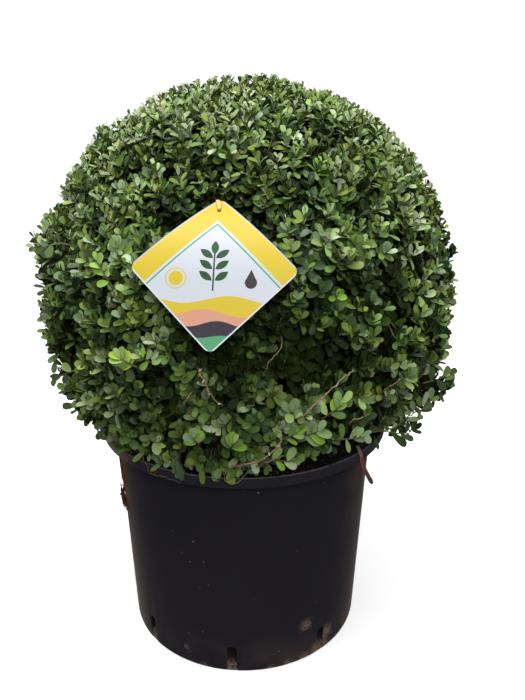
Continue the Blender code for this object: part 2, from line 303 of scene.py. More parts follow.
def pot_angles():
    """Azimuths of the pot's columns. Inside a slot they are where a half circle's even steps
    fall, asin(half x sin(step) / foot radius), so that its head is round; panels are even."""
    steps = np.linspace(-90, 90, SLOT_PARTS + 1)
    slot = np.degrees(np.arcsin(SLOT_HALF * np.sin(np.radians(steps)) / FOOT_RADIUS))
    panel = np.linspace(slot[-1], SLOT_STEP - slot[-1], PANEL_PARTS + 1)[1:-1]
    turn = SLOT_AZIMUTH + SLOT_STEP * np.arange(SLOTS)
    return (turn[:, None] + np.concatenate([slot, panel])).ravel()


def from_slot(azimuth):
    """Degrees from the middle of the nearest slot to an azimuth."""
    return (azimuth - SLOT_AZIMUTH + SLOT_STEP / 2) % SLOT_STEP - SLOT_STEP / 2


def slot_lift(azimuth, height):
    """How far a row rises over a slot: the half circle sqrt(half^2 - across^2) at the spring,
    less below it in ratio to height, and fading out above it."""
    across = FOOT_RADIUS * np.sin(np.radians(from_slot(azimuth)))
    arch = np.sqrt(np.maximum(SLOT_HALF**2 - across**2, 0))
    below = np.clip(height / SLOT_SPRING, 0, 1)
    above = np.clip(1 - (height - SLOT_SPRING) / SLOT_FADE, 0, 1)
    return arch * below * above


def pot_mesh():
    """The pot's section turned round its axis as one closed shell: outer rows, the rounded lip,
    and inner rows that pair with the outer ones. Slot cells are left out of both walls, and
    strips from outer to inner close their edges."""
    spring = FOOT_RADIUS + WALL_TAPER * SLOT_SPRING
    step = COLLAR_STEP
    outer = [(0, 0), (SLOT_INNER, 0), (FOOT_RADIUS, 0), (spring, SLOT_SPRING), (POT_SHOULDER.x, step)]
    outer += [(COLLAR_FOOT_RADIUS, step), (POT_RIM.x, POT_RIM.z - LIP)]
    inner = [(0, WALL), (SLOT_INNER, WALL), (FOOT_RADIUS - WALL, WALL), (spring - WALL, SLOT_SPRING)]
    inner += [(POT_SHOULDER.x - WALL, step + WALL), (COLLAR_FOOT_RADIUS - WALL, step + WALL)]
    inner += [(POT_RIM.x - WALL, POT_RIM.z - LIP)]
    walls = section(outer, OUTER_ARCS, RUN_PARTS)
    backs = section(inner, INNER_ARCS, RUN_PARTS)
    turn = np.linspace(0, np.pi, LIP_STEPS + 1)[1:-1]
    lip_radius = POT_RIM.x - WALL / 2 + WALL / 2 * np.cos(turn)
    lip = np.stack([lip_radius, POT_RIM.z - LIP + LIP * np.sin(turn) ** 0.7], axis=1)
    azimuth = pot_angles()
    rows = np.concatenate([walls, lip, backs[::-1]])
    radius = np.repeat(rows[:, :1], len(azimuth), axis=1)
    height = rows[:, 1:] + slot_lift(azimuth, rows[:, 1:])
    points = aim(azimuth)[None] * radius[..., None]
    points[..., 2] = height
    index = np.arange(points.shape[0] * points.shape[1]).reshape(points.shape[:2])
    first = int(np.argmin(np.abs(walls - (SLOT_INNER, 0)).sum(1)))
    last = int(np.argmin(np.abs(walls - (spring, SLOT_SPRING)).sum(1)))
    quads = grid_faces(index, closed=True)
    column = np.arange(len(azimuth)) % (SLOT_PARTS + PANEL_PARTS)
    row = np.arange(len(quads))
    mirrored = len(index) - 2 - row
    in_rows = ((row >= first) & (row < last)) | ((mirrored >= first) & (mirrored < last))
    keep = ~(in_rows[:, None] & (column < SLOT_PARTS)[None])
    strips = []
    back = index[::-1]
    up = np.arange(first, last + 1)
    for slot in range(SLOTS):
        left = slot * (SLOT_PARTS + PANEL_PARTS)
        across = np.arange(left, left + SLOT_PARTS + 1)
        for edge in ((last, across), (first, across), (up, across[0]), (up, across[-1])):
            line, deep = index[edge], back[edge]
            strips.append(np.stack([line[:-1], line[1:], deep[1:], deep[:-1]], -1))
    return points.reshape(-1, 3), [quads[keep], np.concatenate(strips)]


def on_wall(azimuth, height):
    """A point of the wall's outer face, which widens by its taper from the foot to the shoulder."""
    return aim(azimuth) * (FOOT_RADIUS + WALL_TAPER * height) + height * UP


def wall_spots(made, rows, core):
    """Round spots on the wall, the strongest one where they meet: each falls from its strength
    to 0 between a share of its reach, its core, and its reach."""
    strongest = None
    for azimuth, height, reach, strength in rows:
        spot = made.distance(on_wall(azimuth, height)).ease(reach, core * reach) * strength
        strongest = spot if strongest is None else strongest.most(spot)
    return strongest


def pot_finish():
    """Near-black satin plastic with a fine mould grain. Dust lies low down and in streaks at the
    sides, where it also shows as a sheen as the wall turns away, and the paler side streaks are
    partly painted sheen. Soil has dried on in ragged, grainy spots, specks and dots are paler,
    rust-brown fibre dust lies under the collar and tan dust on it at the left, a painted
    highlight is streaked round the lip, and the collar is a touch paler above its step."""
    made = Finish("pot_plastic", {**POT_GLOSS, **DUST_SHEEN})
    x, _, z = made.axes(made.place)
    coarse, fine, grains = made.noise(16.0, 4.0), made.noise(230.0, 5.0, 0.65), made.noise(950.0, 3.0, 0.7)
    streaks = made.noise(1.0, 4.0, 0.6, made.stretched((90.0, 90.0, 9.0)))
    # Painted sheen and dust: the sides seen from the front are paler in streaks, partly real dust and partly
    # painted sheen.
    spread = x + (coarse - 0.5) * 0.09
    sides = spread.ease(*DUST_AND_SHEEN_RIGHT).most(spread.ease(*DUST_AND_SHEEN_LEFT) * 0.4)
    low = z.ease(DUSTY_FOOT, 0.0) * coarse.ease(0.38, 0.70)
    dust_and_sheen = sides * (streaks.ease(0.30, 0.75) * 0.20 + 0.08) + low * 0.16
    dust_and_sheen = (dust_and_sheen + fine.ease(0.60, 0.85) * 0.05).least(1.0)
    patches = wall_spots(made, SOIL_SPOTS, 0.0)
    grainy = patches * 0.34 + (grains - 0.5) * 0.9 + (fine - 0.5) * 0.5
    soil = grainy.ease(0.18, 0.34) * patches.ease(0.0, 0.25)
    specks = wall_spots(made, [(*row, SPECK_SHARE) for row in SPECKS], 0.3)
    cells = {"Vector": made.place, "Scale": DOT_SCALE}
    from_middle = made.node("ShaderNodeTexVoronoi", {}, cells)
    chance = made.axes(made.node("ShaderNodeTexVoronoi", {}, cells, "Color"))[0]
    dots = from_middle.ease(0.09, 0.04) * chance.ease(0.90, 0.92) * 0.16
    colour = made.blend(dust_and_sheen, POT_BLACK, POT_DUST_AND_SHEEN)
    colour = made.blend(soil * (0.35 + grains * 0.9).least(1.0), colour, POT_SOIL)
    colour = made.blend(specks.most(dots), colour, POT_SPECK)
    ragged = (coarse * 0.35 + fine * 0.65).ease(0.30, 0.55)
    for azimuth, height, reach, strength in RUST_SPOTS:
        centre = aim(azimuth) * RUST_RADIUS + height * UP
        rust = made.distance(centre).ease(reach, 0.25 * reach)
        colour = made.blend(rust * ragged * strength, colour, POT_RUST)
    above_step = z.ease(COLLAR_STEP - 0.002, COLLAR_STEP + 0.004)
    collar_dust = x.ease(*COLLAR_DUSTY) * above_step * coarse.ease(0.20, 0.5)
    colour = made.blend(collar_dust * 0.85, colour, COLLAR_DUST)
    # Painted highlight: the lip's top edge is paled in streaks; the collar is also a touch paler above its
    # step.
    lip = z.ease(POT_RIM.z - 0.0016, POT_RIM.z - 0.0002) * streaks.ease(0.25, 0.60) * 0.8
    step = z.ease(COLLAR_STEP, COLLAR_STEP + 0.003) * 0.06
    colour = made.blend(lip.most(step), colour, POT_PALE_GREY)
    made.feed(Base_Color=colour, Roughness=0.44 + dust_and_sheen * 0.30 + soil * 0.35 + fine * 0.06)
    made.relief(fine * 0.35 + streaks * 0.25 + soil * fine * 1.4, 0.0006, 0.6)
    return made.material


pot = new_piece("pot_shell", *pot_mesh(), pot_finish(), merge=1e-6)
pot.data.set_sharp_from_angle(angle=math.radians(POT_CREASE))
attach(pot, "root")
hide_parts("pot", "pot_collar")

# ------------------------------------------------------------------------------------------
# Compost: the root ball fills the pot to below its lip. Its top is crumbly bark and coir that
# rises to the stem. Behind each slot it has slumped away above, and below it plugs the opening,
# where it has dried to tan. Its own browns are darkened by half as painted shade under the crown.

COMPOST_LOW, COMPOST_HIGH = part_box("compost")
COMPOST_EDGE = 0.2985
COMPOST_FLAT = 0.045
COMPOST_RELIEF = 0.0026
COMPOST_GAP = 0.0006
COMPOST_ROWS = 56
SLUMP_DEPTH = 0.016
SLUMP_FOOT = (0.014, 0.021)
SLUMP_HEAD = (0.060, 0.078)
SLOT_PLUG = 0.0016
PLUG_SINK = 0.0021
PLUG_WIDTH = 0.95
PLUG_DRIED = (0.019, 0.007)
# Compost colours, darkened by half as painted shade under the crown.
SHADED_COMPOST_DARK = (0.0050, 0.0034, 0.0030, 1)
SHADED_COMPOST_BROWN = (0.014, 0.0075, 0.0055, 1)
SHADED_COMPOST_TAN = (0.065, 0.038, 0.026, 1)
PLUG_TAN = (0.40, 0.25, 0.19, 1)


def ripple(points, size, seed, waves=28):
    """Smooth lumps about 1 strong and of a size in metres: a sum of sine waves whose headings
    and phases come from a seeded draw."""
    draw = np.random.default_rng(seed)
    headings = unit(draw.normal(size=(waves, 3))) * draw.uniform(0.6, 1.5, (waves, 1)) * math.tau / size
    phases = draw.uniform(0, math.tau, waves)
    return np.sin(points @ headings.T + phases).sum(-1) * math.sqrt(2 / waves)


def smooth(value, low, high):
    """0 at low and 1 at high with level ends."""
    t = np.clip((value - low) / (high - low), 0, 1)
    return t * t * (3 - 2 * t)


def compost_top(radius):
    """Height of the compost's top: level round the stem, then falling straight to its edge."""
    edge = POT_SHOULDER.x - WALL
    fall = np.clip((radius - COMPOST_FLAT) / (edge - COMPOST_FLAT), 0, 1)
    return COMPOST_HIGH.z + (COMPOST_EDGE - COMPOST_HIGH.z) * fall


def compost_mesh():
    """Rows from the middle of the underside out to the wall, up it, and in over the crumbly top.
    The side keeps clear of the wall, steps back behind each slot's head, and fills its foot."""
    azimuth = pot_angles()
    clear = WALL + COMPOST_GAP
    low_radius = FOOT_RADIUS + WALL_TAPER * COMPOST_LOW.z - clear
    top_radius = FOOT_RADIUS + WALL_TAPER * COMPOST_EDGE - clear
    bottom = section([(0, COMPOST_LOW.z), (low_radius, COMPOST_LOW.z)], [], [4])
    side = section([(low_radius, COMPOST_LOW.z), (top_radius, COMPOST_EDGE)], [], [44])
    inward = np.linspace(top_radius, 0, COMPOST_ROWS)
    top = np.stack([inward, compost_top(inward)], axis=1)
    rows = np.concatenate([bottom[:-1], side, top[1:]])
    radius = np.repeat(rows[:, :1], len(azimuth), axis=1)
    height = np.repeat(rows[:, 1:], len(azimuth), axis=1)
    across = np.abs(FOOT_RADIUS * np.radians(from_slot(azimuth))) / SLOT_HALF
    number, corner = np.arange(len(rows))[:, None], len(bottom) - 1
    on_side = (number >= corner) & (number < corner + len(side) - 1)
    on_top = number > len(rows) - len(top)
    past_foot = smooth(height, *SLUMP_FOOT)
    slump = past_foot * (1 - smooth(height, *SLUMP_HEAD)) * (1 - smooth(across, 1.0, 2.6))
    plug = (1 - past_foot) * (across < PLUG_WIDTH)
    sunk = (number == corner) * (across < PLUG_WIDTH) * PLUG_SINK
    radius = radius + on_side * (SLOT_PLUG * plug - SLUMP_DEPTH * slump)
    points = aim(azimuth)[None] * radius[..., None]
    points[..., 2] = height - sunk
    crumb = ripple(points, 0.030, 5) + 0.8 * ripple(points, 0.011, 6) + 0.6 * ripple(points, 0.006, 7)
    points[..., 2] += on_top * COMPOST_RELIEF * np.clip(crumb - 0.4, -1.5, 1.8) * 0.5
    index = np.arange(points.shape[0] * points.shape[1]).reshape(points.shape[:2])
    return points.reshape(-1, 3), [grid_faces(index, closed=True)]


def compost_finish():
    """Dark moist fibre, darker still as painted shade under the crown, with browner bark bits, rough and
    crumbly, and dried to tan at the slots.
    """
    made = Finish("compost", {"Roughness": 0.92, "Specular IOR Level": 0.25})
    coarse, fine = made.noise(90.0, 4.0), made.noise(620.0, 5.0, 0.7)
    colour = made.blend(coarse.ease(0.42, 0.68), SHADED_COMPOST_DARK, SHADED_COMPOST_BROWN)
    colour = made.blend(fine.ease(0.58, 0.72) * 0.7, colour, SHADED_COMPOST_TAN)
    dried = made.axes(made.place)[2].ease(*PLUG_DRIED) * fine.ease(0.42, 0.62)
    made.feed(Base_Color=made.blend(dried, colour, PLUG_TAN))
    made.relief(coarse * 0.5 + fine * 0.7, 0.0022, 0.9)
    return made.material


compost = new_piece("compost_fill", *compost_mesh(), compost_finish(), merge=1e-6)
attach(compost, "root")
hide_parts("compost")

# ------------------------------------------------------------------------------------------
# Bark crumbs: broken bits of bark and coir that lie loose on the compost inside the collar.
# Each is a flat, uneven lump, tipped a little and pressed into what it lies on.

CRUMB_COUNT = 1500
CRUMB_SIZE = (0.0022, 0.0075)
CRUMB_FLATNESS = (1.0, 0.62, 0.34)
CRUMB_INNER_RADIUS = 0.04
CRUMB_LIFT = 0.0008
CRUMB_KINDS = {
    "bark_crumbs_dark": (0.75, (0.022, 0.012, 0.008, 1), (0.075, 0.036, 0.020, 1)),
    "bark_crumbs_brown": (0.30, (0.11, 0.055, 0.03, 1), (0.25, 0.15, 0.09, 1)),
}


def lumps(centres, sizes, turns, draw):
    """Uneven lumps of eight corners each: a box's corners, each moved at random by a quarter of
    its size, turned about its upright axis and tipped at random."""
    square = ((-1, -1), (1, -1), (1, 1), (-1, 1))
    corners = np.array([(x, y, z) for z in (-1, 1) for x, y in square], float) / 2
    shape = corners[None] * sizes[:, None] * draw.uniform(0.55, 1.1, (len(centres), 8, 3))
    along = aim(turns, draw.normal(0, 14, len(centres)))
    side = unit(np.cross(UP, along) + draw.normal(0, 0.25, along.shape))
    up = np.cross(along, side)
    points = centres[:, None] + shape[..., :1] * along[:, None] + shape[..., 1:2] * side[:, None]
    points = points + shape[..., 2:] * up[:, None]
    quads = np.array([(0, 3, 2, 1), (4, 5, 6, 7), (0, 1, 5, 4), (1, 2, 6, 5), (2, 3, 7, 6), (3, 0, 4, 7)])
    return points.reshape(-1, 3), (np.arange(len(centres))[:, None, None] * 8 + quads).reshape(-1, 4)


def crumb_finish(name, dark, light):
    """Bark bits between two browns, each patch of them a little different."""
    made = Finish(name, {"Roughness": 0.9, "Specular IOR Level": 0.3})
    made.feed(Base_Color=made.blend(made.noise(150.0, 3.0, 0.6).ease(0.35, 0.65), dark, light))
    made.relief(made.noise(1400.0, 3.0), 0.0005, 0.8)
    return made.material


crumb_draw = np.random.default_rng(21)
crumb_edge = POT_SHOULDER.x - WALL - 0.004
crumb_radius = np.sqrt(crumb_draw.uniform(CRUMB_INNER_RADIUS**2, crumb_edge**2, CRUMB_COUNT))
crumb_place = aim(crumb_draw.uniform(0, 360, CRUMB_COUNT)) * crumb_radius[:, None]
crumb_place[:, 2] = compost_top(crumb_radius) + CRUMB_LIFT
crumb_size = crumb_draw.uniform(*CRUMB_SIZE, (CRUMB_COUNT, 3)) * CRUMB_FLATNESS
for name, (kept_share, dark, light) in CRUMB_KINDS.items():
    chosen = crumb_draw.random(CRUMB_COUNT) < kept_share
    turns = crumb_draw.uniform(0, 360, chosen.sum())
    points, quads = lumps(crumb_place[chosen], crumb_size[chosen], turns, crumb_draw)
    crumbs = new_piece(name, points, [quads], crumb_finish(name, dark, light))
    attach(crumbs, "root")

# ------------------------------------------------------------------------------------------
# Stem and boughs: one short stem with a root flare and a swollen fork, and eight limbs that
# spread from it. The bark is grey-brown with fine lengthwise cracks and small raised pores.

STEM_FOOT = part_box("main_stem")[0].z
FORK = np.array([0.0, 0.0, 0.352])
FORK_RADIUS = 0.0175
STEM_SIDES = 56
STEM_LEAN = 0.003
STEM_SHAPE = [(0.0, 0.0258), (0.12, 0.0204), (0.30, 0.0164), (0.52, 0.0150), (0.74, 0.0160), (1.0, 0.0175)]
BOUGHS = 8
BOUGH_SIDES = 28
BOUGH_BEND = 0.006
BOUGH_SHARES = (0.10, 0.20, 1.0)
BOUGH_RADII = (0.0075, 0.0058, 0.0038)
BARK_CRACK = 0.0007
BARK_DARK = (0.060, 0.042, 0.031, 1)
BARK_LIGHT = (0.205, 0.160, 0.122, 1)
BARK_GREEN = (0.10, 0.11, 0.055, 1)


def curve(start, start_heading, end, end_heading, share):
    """Points and headings at shares 0 to 1 of cubic curves, each of whose handles is a third of
    its span along its heading: (1-t)^3 a + 3(1-t)^2 t b + 3(1-t) t^2 c + t^3 d."""
    span = np.linalg.norm(end - start, axis=-1, keepdims=True) / 3
    a, b, c, d = (p[:, None] for p in (start, start + start_heading * span, end - end_heading * span, end))
    t = share[..., None]
    points = (1 - t) ** 3 * a + 3 * (1 - t) ** 2 * t * b + 3 * (1 - t) * t**2 * c + t**3 * d
    headings = (1 - t) ** 2 * (b - a) + 2 * (1 - t) * t * (c - b) + t**2 * (d - c)
    return points, unit(headings)


def square_to(vectors, headings):
    """The part of each vector square to its heading, made a unit long."""
    return unit(vectors - headings * (vectors * headings).sum(-1, keepdims=True))


def tubes(paths, headings, radii, sides):
    """Tubes along paths: at each point a ring, path + radius (cos u across + sin u lift), with
    across and lift square to the heading. Both ends are closed by a face."""
    chord = unit(paths[:, -1] - paths[:, 0])
    guide = np.where(np.abs(chord[:, 2:]) < 0.85, [[0, 0, 1.0]], [[1.0, 0, 0]])
    across = np.cross(chord, guide)[:, None]
    across = square_to(across, headings)
    lift = np.cross(headings, across)
    turn = math.tau * np.arange(sides) / sides
    ring = np.cos(turn)[:, None] * across[..., None, :] + np.sin(turn)[:, None] * lift[..., None, :]
    points = paths[..., None, :] + radii[..., None, None] * ring
    index = np.arange(points.size // 3).reshape(points.shape[:-1])
    ends = np.concatenate([index[:, 0, ::-1], index[:, -1]])
    return points, [grid_faces(index, closed=True), ends]


def bark_finish(name, dark, light, crack_scale):
    """Bark between two browns with a green bloom, cracked along its length."""
    made = Finish(name, {"Roughness": 0.85, "Specular IOR Level": 0.3})
    coarse, fine = made.noise(60.0, 4.0), made.noise(crack_scale, 5.0, 0.65)
    colour = made.blend(fine.ease(0.36, 0.66), dark, light)
    colour = made.blend(coarse.ease(0.55, 0.78) * 0.45, colour, BARK_GREEN)
    made.feed(Base_Color=colour, Roughness=0.72 + fine * 0.25)
    made.relief(fine, 0.0006, 0.8)
    return made.material


def barked(points, axis_points, axis_headings):
    """Bark relief: a ring's points move along their radius by lengthwise cracks, which are lumps
    stretched along the limb, and by small pores."""
    radial = points - axis_points[..., None, :]
    along = (points * axis_headings[..., None, :]).sum(-1, keepdims=True)
    squeezed = points - 0.8 * along * axis_headings[..., None, :]
    height = -np.abs(ripple(squeezed, 0.006, 31)) + 0.5 * ripple(points, 0.004, 32)
    return points + unit(radial) * (BARK_CRACK * height)[..., None]


bark = bark_finish("bark", BARK_DARK, BARK_LIGHT, 700.0)
stem_rise = np.linspace(0, 1, 40)
stem_heights, stem_widths = np.array(STEM_SHAPE).T
stem_lean = STEM_LEAN * (1 - smooth(stem_rise, 0.12, 0.74))
stem_path = np.stack([stem_lean, 0 * stem_rise, STEM_FOOT + (FORK[2] - STEM_FOOT) * stem_rise], -1)
stem_radius = np.interp(stem_rise, stem_heights, stem_widths)
dome = np.radians(np.linspace(12, 86, 7))
dome_path = FORK + UP * (FORK_RADIUS * np.sin(dome))[:, None]
stem_path = np.concatenate([stem_path, dome_path])[None]
stem_radius = np.concatenate([stem_radius, FORK_RADIUS * np.cos(dome)])[None]
upward = np.broadcast_to(UP, stem_path.shape)
points, faces = tubes(stem_path, upward, stem_radius, STEM_SIDES)
stem = new_piece("stem", barked(points, stem_path, upward).reshape(-1, 3), faces, bark)
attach(stem, "root")
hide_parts("main_stem")


def node_corners(name):
    """All corners of a CAD node's mesh."""
    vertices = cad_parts[name].data.vertices
    points = np.empty(len(vertices) * 3)
    vertices.foreach_get("co", points)
    return points.reshape(-1, 3)


def bough_end(name):
    """Middle of a bough's far end: the mean of its points that lie farthest from the fork."""
    points = node_corners(name)
    reach = np.linalg.norm(points - FORK, axis=1)
    return points[reach > reach.max() - 0.0015].mean(0)


bough_tips, bough_headings = [], []
for number in range(1, BOUGHS + 1):
    tip = bough_end(f"bough_{number}")
    heading = unit(tip - FORK)
    side = unit(np.cross(UP, heading))
    share = np.linspace(BOUGH_SHARES[0], 1.0, 40)
    bend = BOUGH_BEND * np.sin(np.pi * np.clip((share - 0.17) / 0.83, 0, 1)) ** 2 * (-1) ** number
    path = (FORK + (tip - FORK) * share[:, None] + side * bend[:, None])[None]
    headings = unit(np.gradient(path[0], axis=0))[None]
    radius = np.interp(share, BOUGH_SHARES, BOUGH_RADII)[None]
    points, faces = tubes(path, headings, radius, BOUGH_SIDES)
    bough = new_piece(f"limb_{number}", barked(points, path, headings).reshape(-1, 3), faces, bark)
    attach(bough, "root")
    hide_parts(f"bough_{number}")
    bough_tips.append(tip)
    bough_headings.append(heading)
bough_tips, bough_headings = np.array(bough_tips), np.array(bough_headings)

# ------------------------------------------------------------------------------------------
# Crown wood: branchlets leave the boughs, twigs leave the branchlets, and leafy shoots leave
# the twigs and end just inside the clipped outline, closer together than the leaves are long.
# A hollow is an azimuth, an elevation, a depth, a width and a height; the hem is the crown's
# lower edge as azimuths and heights.

CROWN_LOW, CROWN_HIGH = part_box("clipped_ball")
CROWN_RADIUS = (CROWN_HIGH.x - CROWN_LOW.x) / 2
CROWN_CENTRE = np.array([(CROWN_HIGH.x + CROWN_LOW.x) / 2, 0.0, CROWN_HIGH.z - CROWN_RADIUS])
SPRAY_NAMES = sorted(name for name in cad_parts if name.startswith(("spray_", "sprig_")))
SKIRT = "skirt_front_left"
BRANCHLETS = {"count": 150, "depth": 0.60, "radii": (0.0036, 0.0021), "sides": 6, "steps": 9}
TWIGS = {"count": 900, "depth": 0.83, "radii": (0.0020, 0.0012), "sides": 5, "steps": 7}
SHOOT_SPACING = 0.0152
SHOOT_RADII = (0.0011, 0.00055)
LOWEST_SHOOT = -46.0
CLUMP_DEPTH = 0.027
TABLE_STEP = 3.0
TABLE_REACH = 0.95 * TABLE_STEP
NO_CROWN = 0.10
HOLLOWS = [
    (-20.6, 32.7, 0.034, 9, 3.5), (-12, 35.5, 0.020, 5, 3), (-3.4, 34.5, 0.030, 7, 3.5),
    (-11.3, 43.4, 0.020, 5, 3.5), (-37.9, 42.5, 0.016, 5, 3), (7.8, 39.7, 0.018, 5, 3.5),
    (29.1, 33, 0.028, 5, 4), (30.5, 17.5, 0.018, 4, 3), (38, 12, 0.020, 5, 4),
    (-51.8, 23.9, 0.022, 3, 5), (-38.6, 24.6, 0.016, 3, 4), (1, 4, 0.038, 8, 7),
    (17, -2, 0.040, 5, 5), (-51, 1, 0.030, 4, 5), (-24, -7, 0.026, 4, 4), (-14, -26, 0.018, 6, 4),
    (25, -27, 0.022, 9, 4), (78, 11, 0.009, 12, 7), (-79, 27, 0.009, 10, 5),
    (-82, 48.6, 0.002, 16, 6), (-82, 74, 0.004, 16, 7),
]
HEM_INNER_RADIUS = 0.16
HEM = [(-180, 0.335), (-120, 0.330), (-60, 0.325), (-45, 0.320), (-34, 0.322), (-20, 0.342),
       (-12, 0.342), (-6, 0.318), (0, 0.316), (5, 0.345), (11, 0.337), (20, 0.340), (31, 0.347),
       (38, 0.360), (46, 0.347), (60, 0.345), (90, 0.335), (140, 0.345), (180, 0.335)]
TWIG_DARK = (0.090, 0.062, 0.036, 1)
TWIG_LIGHT = (0.33, 0.245, 0.145, 1)
SHOOT_DARK = (0.050, 0.055, 0.020, 1)
SHOOT_LIGHT = (0.150, 0.135, 0.060, 1)
PALE_DARK = (0.120, 0.080, 0.044, 1)
PALE_LIGHT = (0.350, 0.250, 0.130, 1)
grow = np.random.default_rng(73)


def even_directions(count):
    """Directions spread evenly over a sphere: heights step evenly from 1 to -1 as the turn grows
    by the golden angle."""
    step = np.arange(count) + 0.5
    height = 1 - 2 * step / count
    turn = step * math.pi * (3 - math.sqrt(5))
    flat = np.sqrt(1 - height**2)
    return np.stack([flat * np.cos(turn), flat * np.sin(turn), height], -1)


def node_points(names):
    """The different corners of some CAD nodes, to a hundredth of a millimetre."""
    corners = np.concatenate([node_corners(name) for name in names])
    return np.unique(np.round(corners.astype(np.float32), 5), axis=0)


def turn_and_rise(directions):
    """Azimuths and elevations of directions in degrees."""
    azimuth = np.degrees(np.arctan2(directions[..., 0], -directions[..., 1]))
    return azimuth, np.degrees(np.arcsin(np.clip(directions[..., 2], -1, 1)))


def outline_table():
    """How far the crown's outline is from its centre, on a grid of azimuths and elevations: the
    farthest CAD corner within a step of each direction."""
    corners = node_points(["clipped_ball", *SPRAY_NAMES]) - CROWN_CENTRE
    lengths = np.linalg.norm(corners, axis=1)
    corners = corners / lengths[:, None]
    azimuth = np.arange(-180, 180 + TABLE_STEP, TABLE_STEP)
    table = []
    for elevation in np.arange(-90, 90 + TABLE_STEP, TABLE_STEP):
        close = aim(azimuth, elevation) @ corners.T > math.cos(math.radians(TABLE_REACH))
        table.append(np.where(close, lengths, 0).max(1))
    table = np.array(table)
    table[table == 0] = NO_CROWN
    return table


OUTLINE = outline_table()


def reach(directions):
    """Distance from the crown's centre to its outline along directions, between the table's values."""
    azimuth, elevation = turn_and_rise(directions)
    column, row = (azimuth + 180) / TABLE_STEP, (elevation + 90) / TABLE_STEP
    left = np.clip(column.astype(int), 0, OUTLINE.shape[1] - 2)
    low = np.clip(row.astype(int), 0, OUTLINE.shape[0] - 2)
    x, y = column - left, row - low
    lower = OUTLINE[low, left] * (1 - x) + OUTLINE[low, left + 1] * x
    upper = OUTLINE[low + 1, left] * (1 - x) + OUTLINE[low + 1, left + 1] * x
    return lower * (1 - y) + upper * y


def hollow_depth(directions):
    """How far the leaves stand back from the outline: clumps and gaps between them a few
    centimetres wide, and larger hollows of a depth, width and height of their own."""
    points = directions * CROWN_RADIUS
    clump = 0.7 * ripple(points, 0.075, 11) + 0.6 * ripple(points, 0.038, 12)
    depth = CLUMP_DEPTH * smooth(clump, 0.15, 1.5)
    azimuth, elevation = turn_and_rise(directions)
    for turn, rise, deep, wide, high in HOLLOWS:
        across = (azimuth - turn) * np.cos(np.radians(rise)) / wide
        depth = depth + deep * np.exp(-0.5 * (across**2 + ((elevation - rise) / high) ** 2))
    return depth


def above_hem(points, slack):
    """True where points are well inside the rim, or not lower than the crown's hem there."""
    hem = np.interp(turn_and_rise(points)[0], *np.array(HEM).T) - slack
    return (points[..., 2] > hem) | (np.hypot(points[..., 0], points[..., 1]) < HEM_INNER_RADIUS)


def nearest(points, others):
    """For each point the index of the closest of the others."""
    return np.argmin(((points[:, None] - others[None]) ** 2).sum(-1), axis=1)


def grown_on(parents, parent_headings, ends, headings, low, steps):
    """Curves from the nearest parent curve to each end: they leave it at a random point past
    low along its heading, and arrive along their own."""
    host = nearest(ends, parents[:, -1])
    stand = grow.integers(int(low * parents.shape[1]), parents.shape[1], len(ends))
    start, leave = parents[host, stand], parent_headings[host, stand]
    leave = unit(leave + 0.5 * unit(ends - start))
    share = np.broadcast_to(np.linspace(0, 1, steps), (len(ends), steps))
    return (*curve(start, leave, ends, headings, share), start, leave)


def tapered(radii, steps, count):
    """Radii that fall in a straight line along each of count limbs, some thicker than others."""
    return np.broadcast_to(np.linspace(*radii, steps), (count, steps)) * grow.uniform(0.85, 1.2, (count, 1))


def wood_piece(name, groups, finish):
    """Joins groups of tubes into one piece with one finish."""
    points, faces, so_far = [], [], 0
    for group_points, group_faces in groups:
        points.append(group_points.reshape(-1, 3))
        faces += [face + so_far for face in group_faces]
        so_far += len(points[-1])
    made = new_piece(name, np.concatenate(points), faces, finish)
    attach(made, "root")


hosts, host_headings = bough_tips[:, None], bough_headings[:, None]
framework = []
for level in (BRANCHLETS, TWIGS):
    ways = unit(even_directions(level["count"]) + grow.normal(0, 0.05, (level["count"], 3)))
    ways = ways[turn_and_rise(ways)[1] > LOWEST_SHOOT]
    lengths = reach(ways) * level["depth"] * grow.uniform(0.93, 1.04, len(ways))
    ends = CROWN_CENTRE + ways * lengths[:, None]
    headings = unit(ways + [0, 0, 0.3] + grow.normal(0, 0.22, ways.shape))
    hosts, host_headings, _, _ = grown_on(hosts, host_headings, ends, headings, 0.45, level["steps"])
    radii = tapered(level["radii"], level["steps"], len(ends))
    framework.append(tubes(hosts, host_headings, radii, level["sides"]))
wood_piece("branchlets_and_twigs", framework, bark_finish("twig_bark", TWIG_DARK, TWIG_LIGHT, 900.0))

# ------------------------------------------------------------------------------------------
# Label place: leaves and shoots keep clear of the card, which hangs in front of the crown on
# its own curl. The card's flat part faces outwards and up, and its upper half curls back.

LABEL_SIDE = 0.1175
LABEL_CORNER = 0.0080
LABEL_CENTRE = np.array([-0.0288, -0.2614, 0.5847])
LABEL_NORMAL = aim(-5.2, 25.3)
LABEL_ROLL = -0.8
LABEL_CURL_START = -0.0102
LABEL_CURL_RADIUS = 0.1556
SHOOTS_CLEAR = {"margin": 0.006, "behind": 0.010}
LEAVES_CLEAR = {"margin": 0.004, "behind": 0.0015}
level_side = unit(np.cross(UP, LABEL_NORMAL))
card_rise = np.cross(LABEL_NORMAL, level_side)
label_roll = math.radians(LABEL_ROLL)
LABEL_ACROSS = level_side * math.cos(label_roll) + card_rise * math.sin(label_roll)
LABEL_UP = np.cross(LABEL_NORMAL, LABEL_ACROSS)


def card_curl(rise):
    """Height and setback of the curled card at distances up its diagonal: straight to the start
    of the curl, then round a circle, R sin(turn) up and R (1 - cos(turn)) back."""
    turn = np.maximum(rise - LABEL_CURL_START, 0) / LABEL_CURL_RADIUS
    along = np.minimum(rise, LABEL_CURL_START) + LABEL_CURL_RADIUS * np.sin(turn)
    return along, LABEL_CURL_RADIUS * (1 - np.cos(turn)), turn


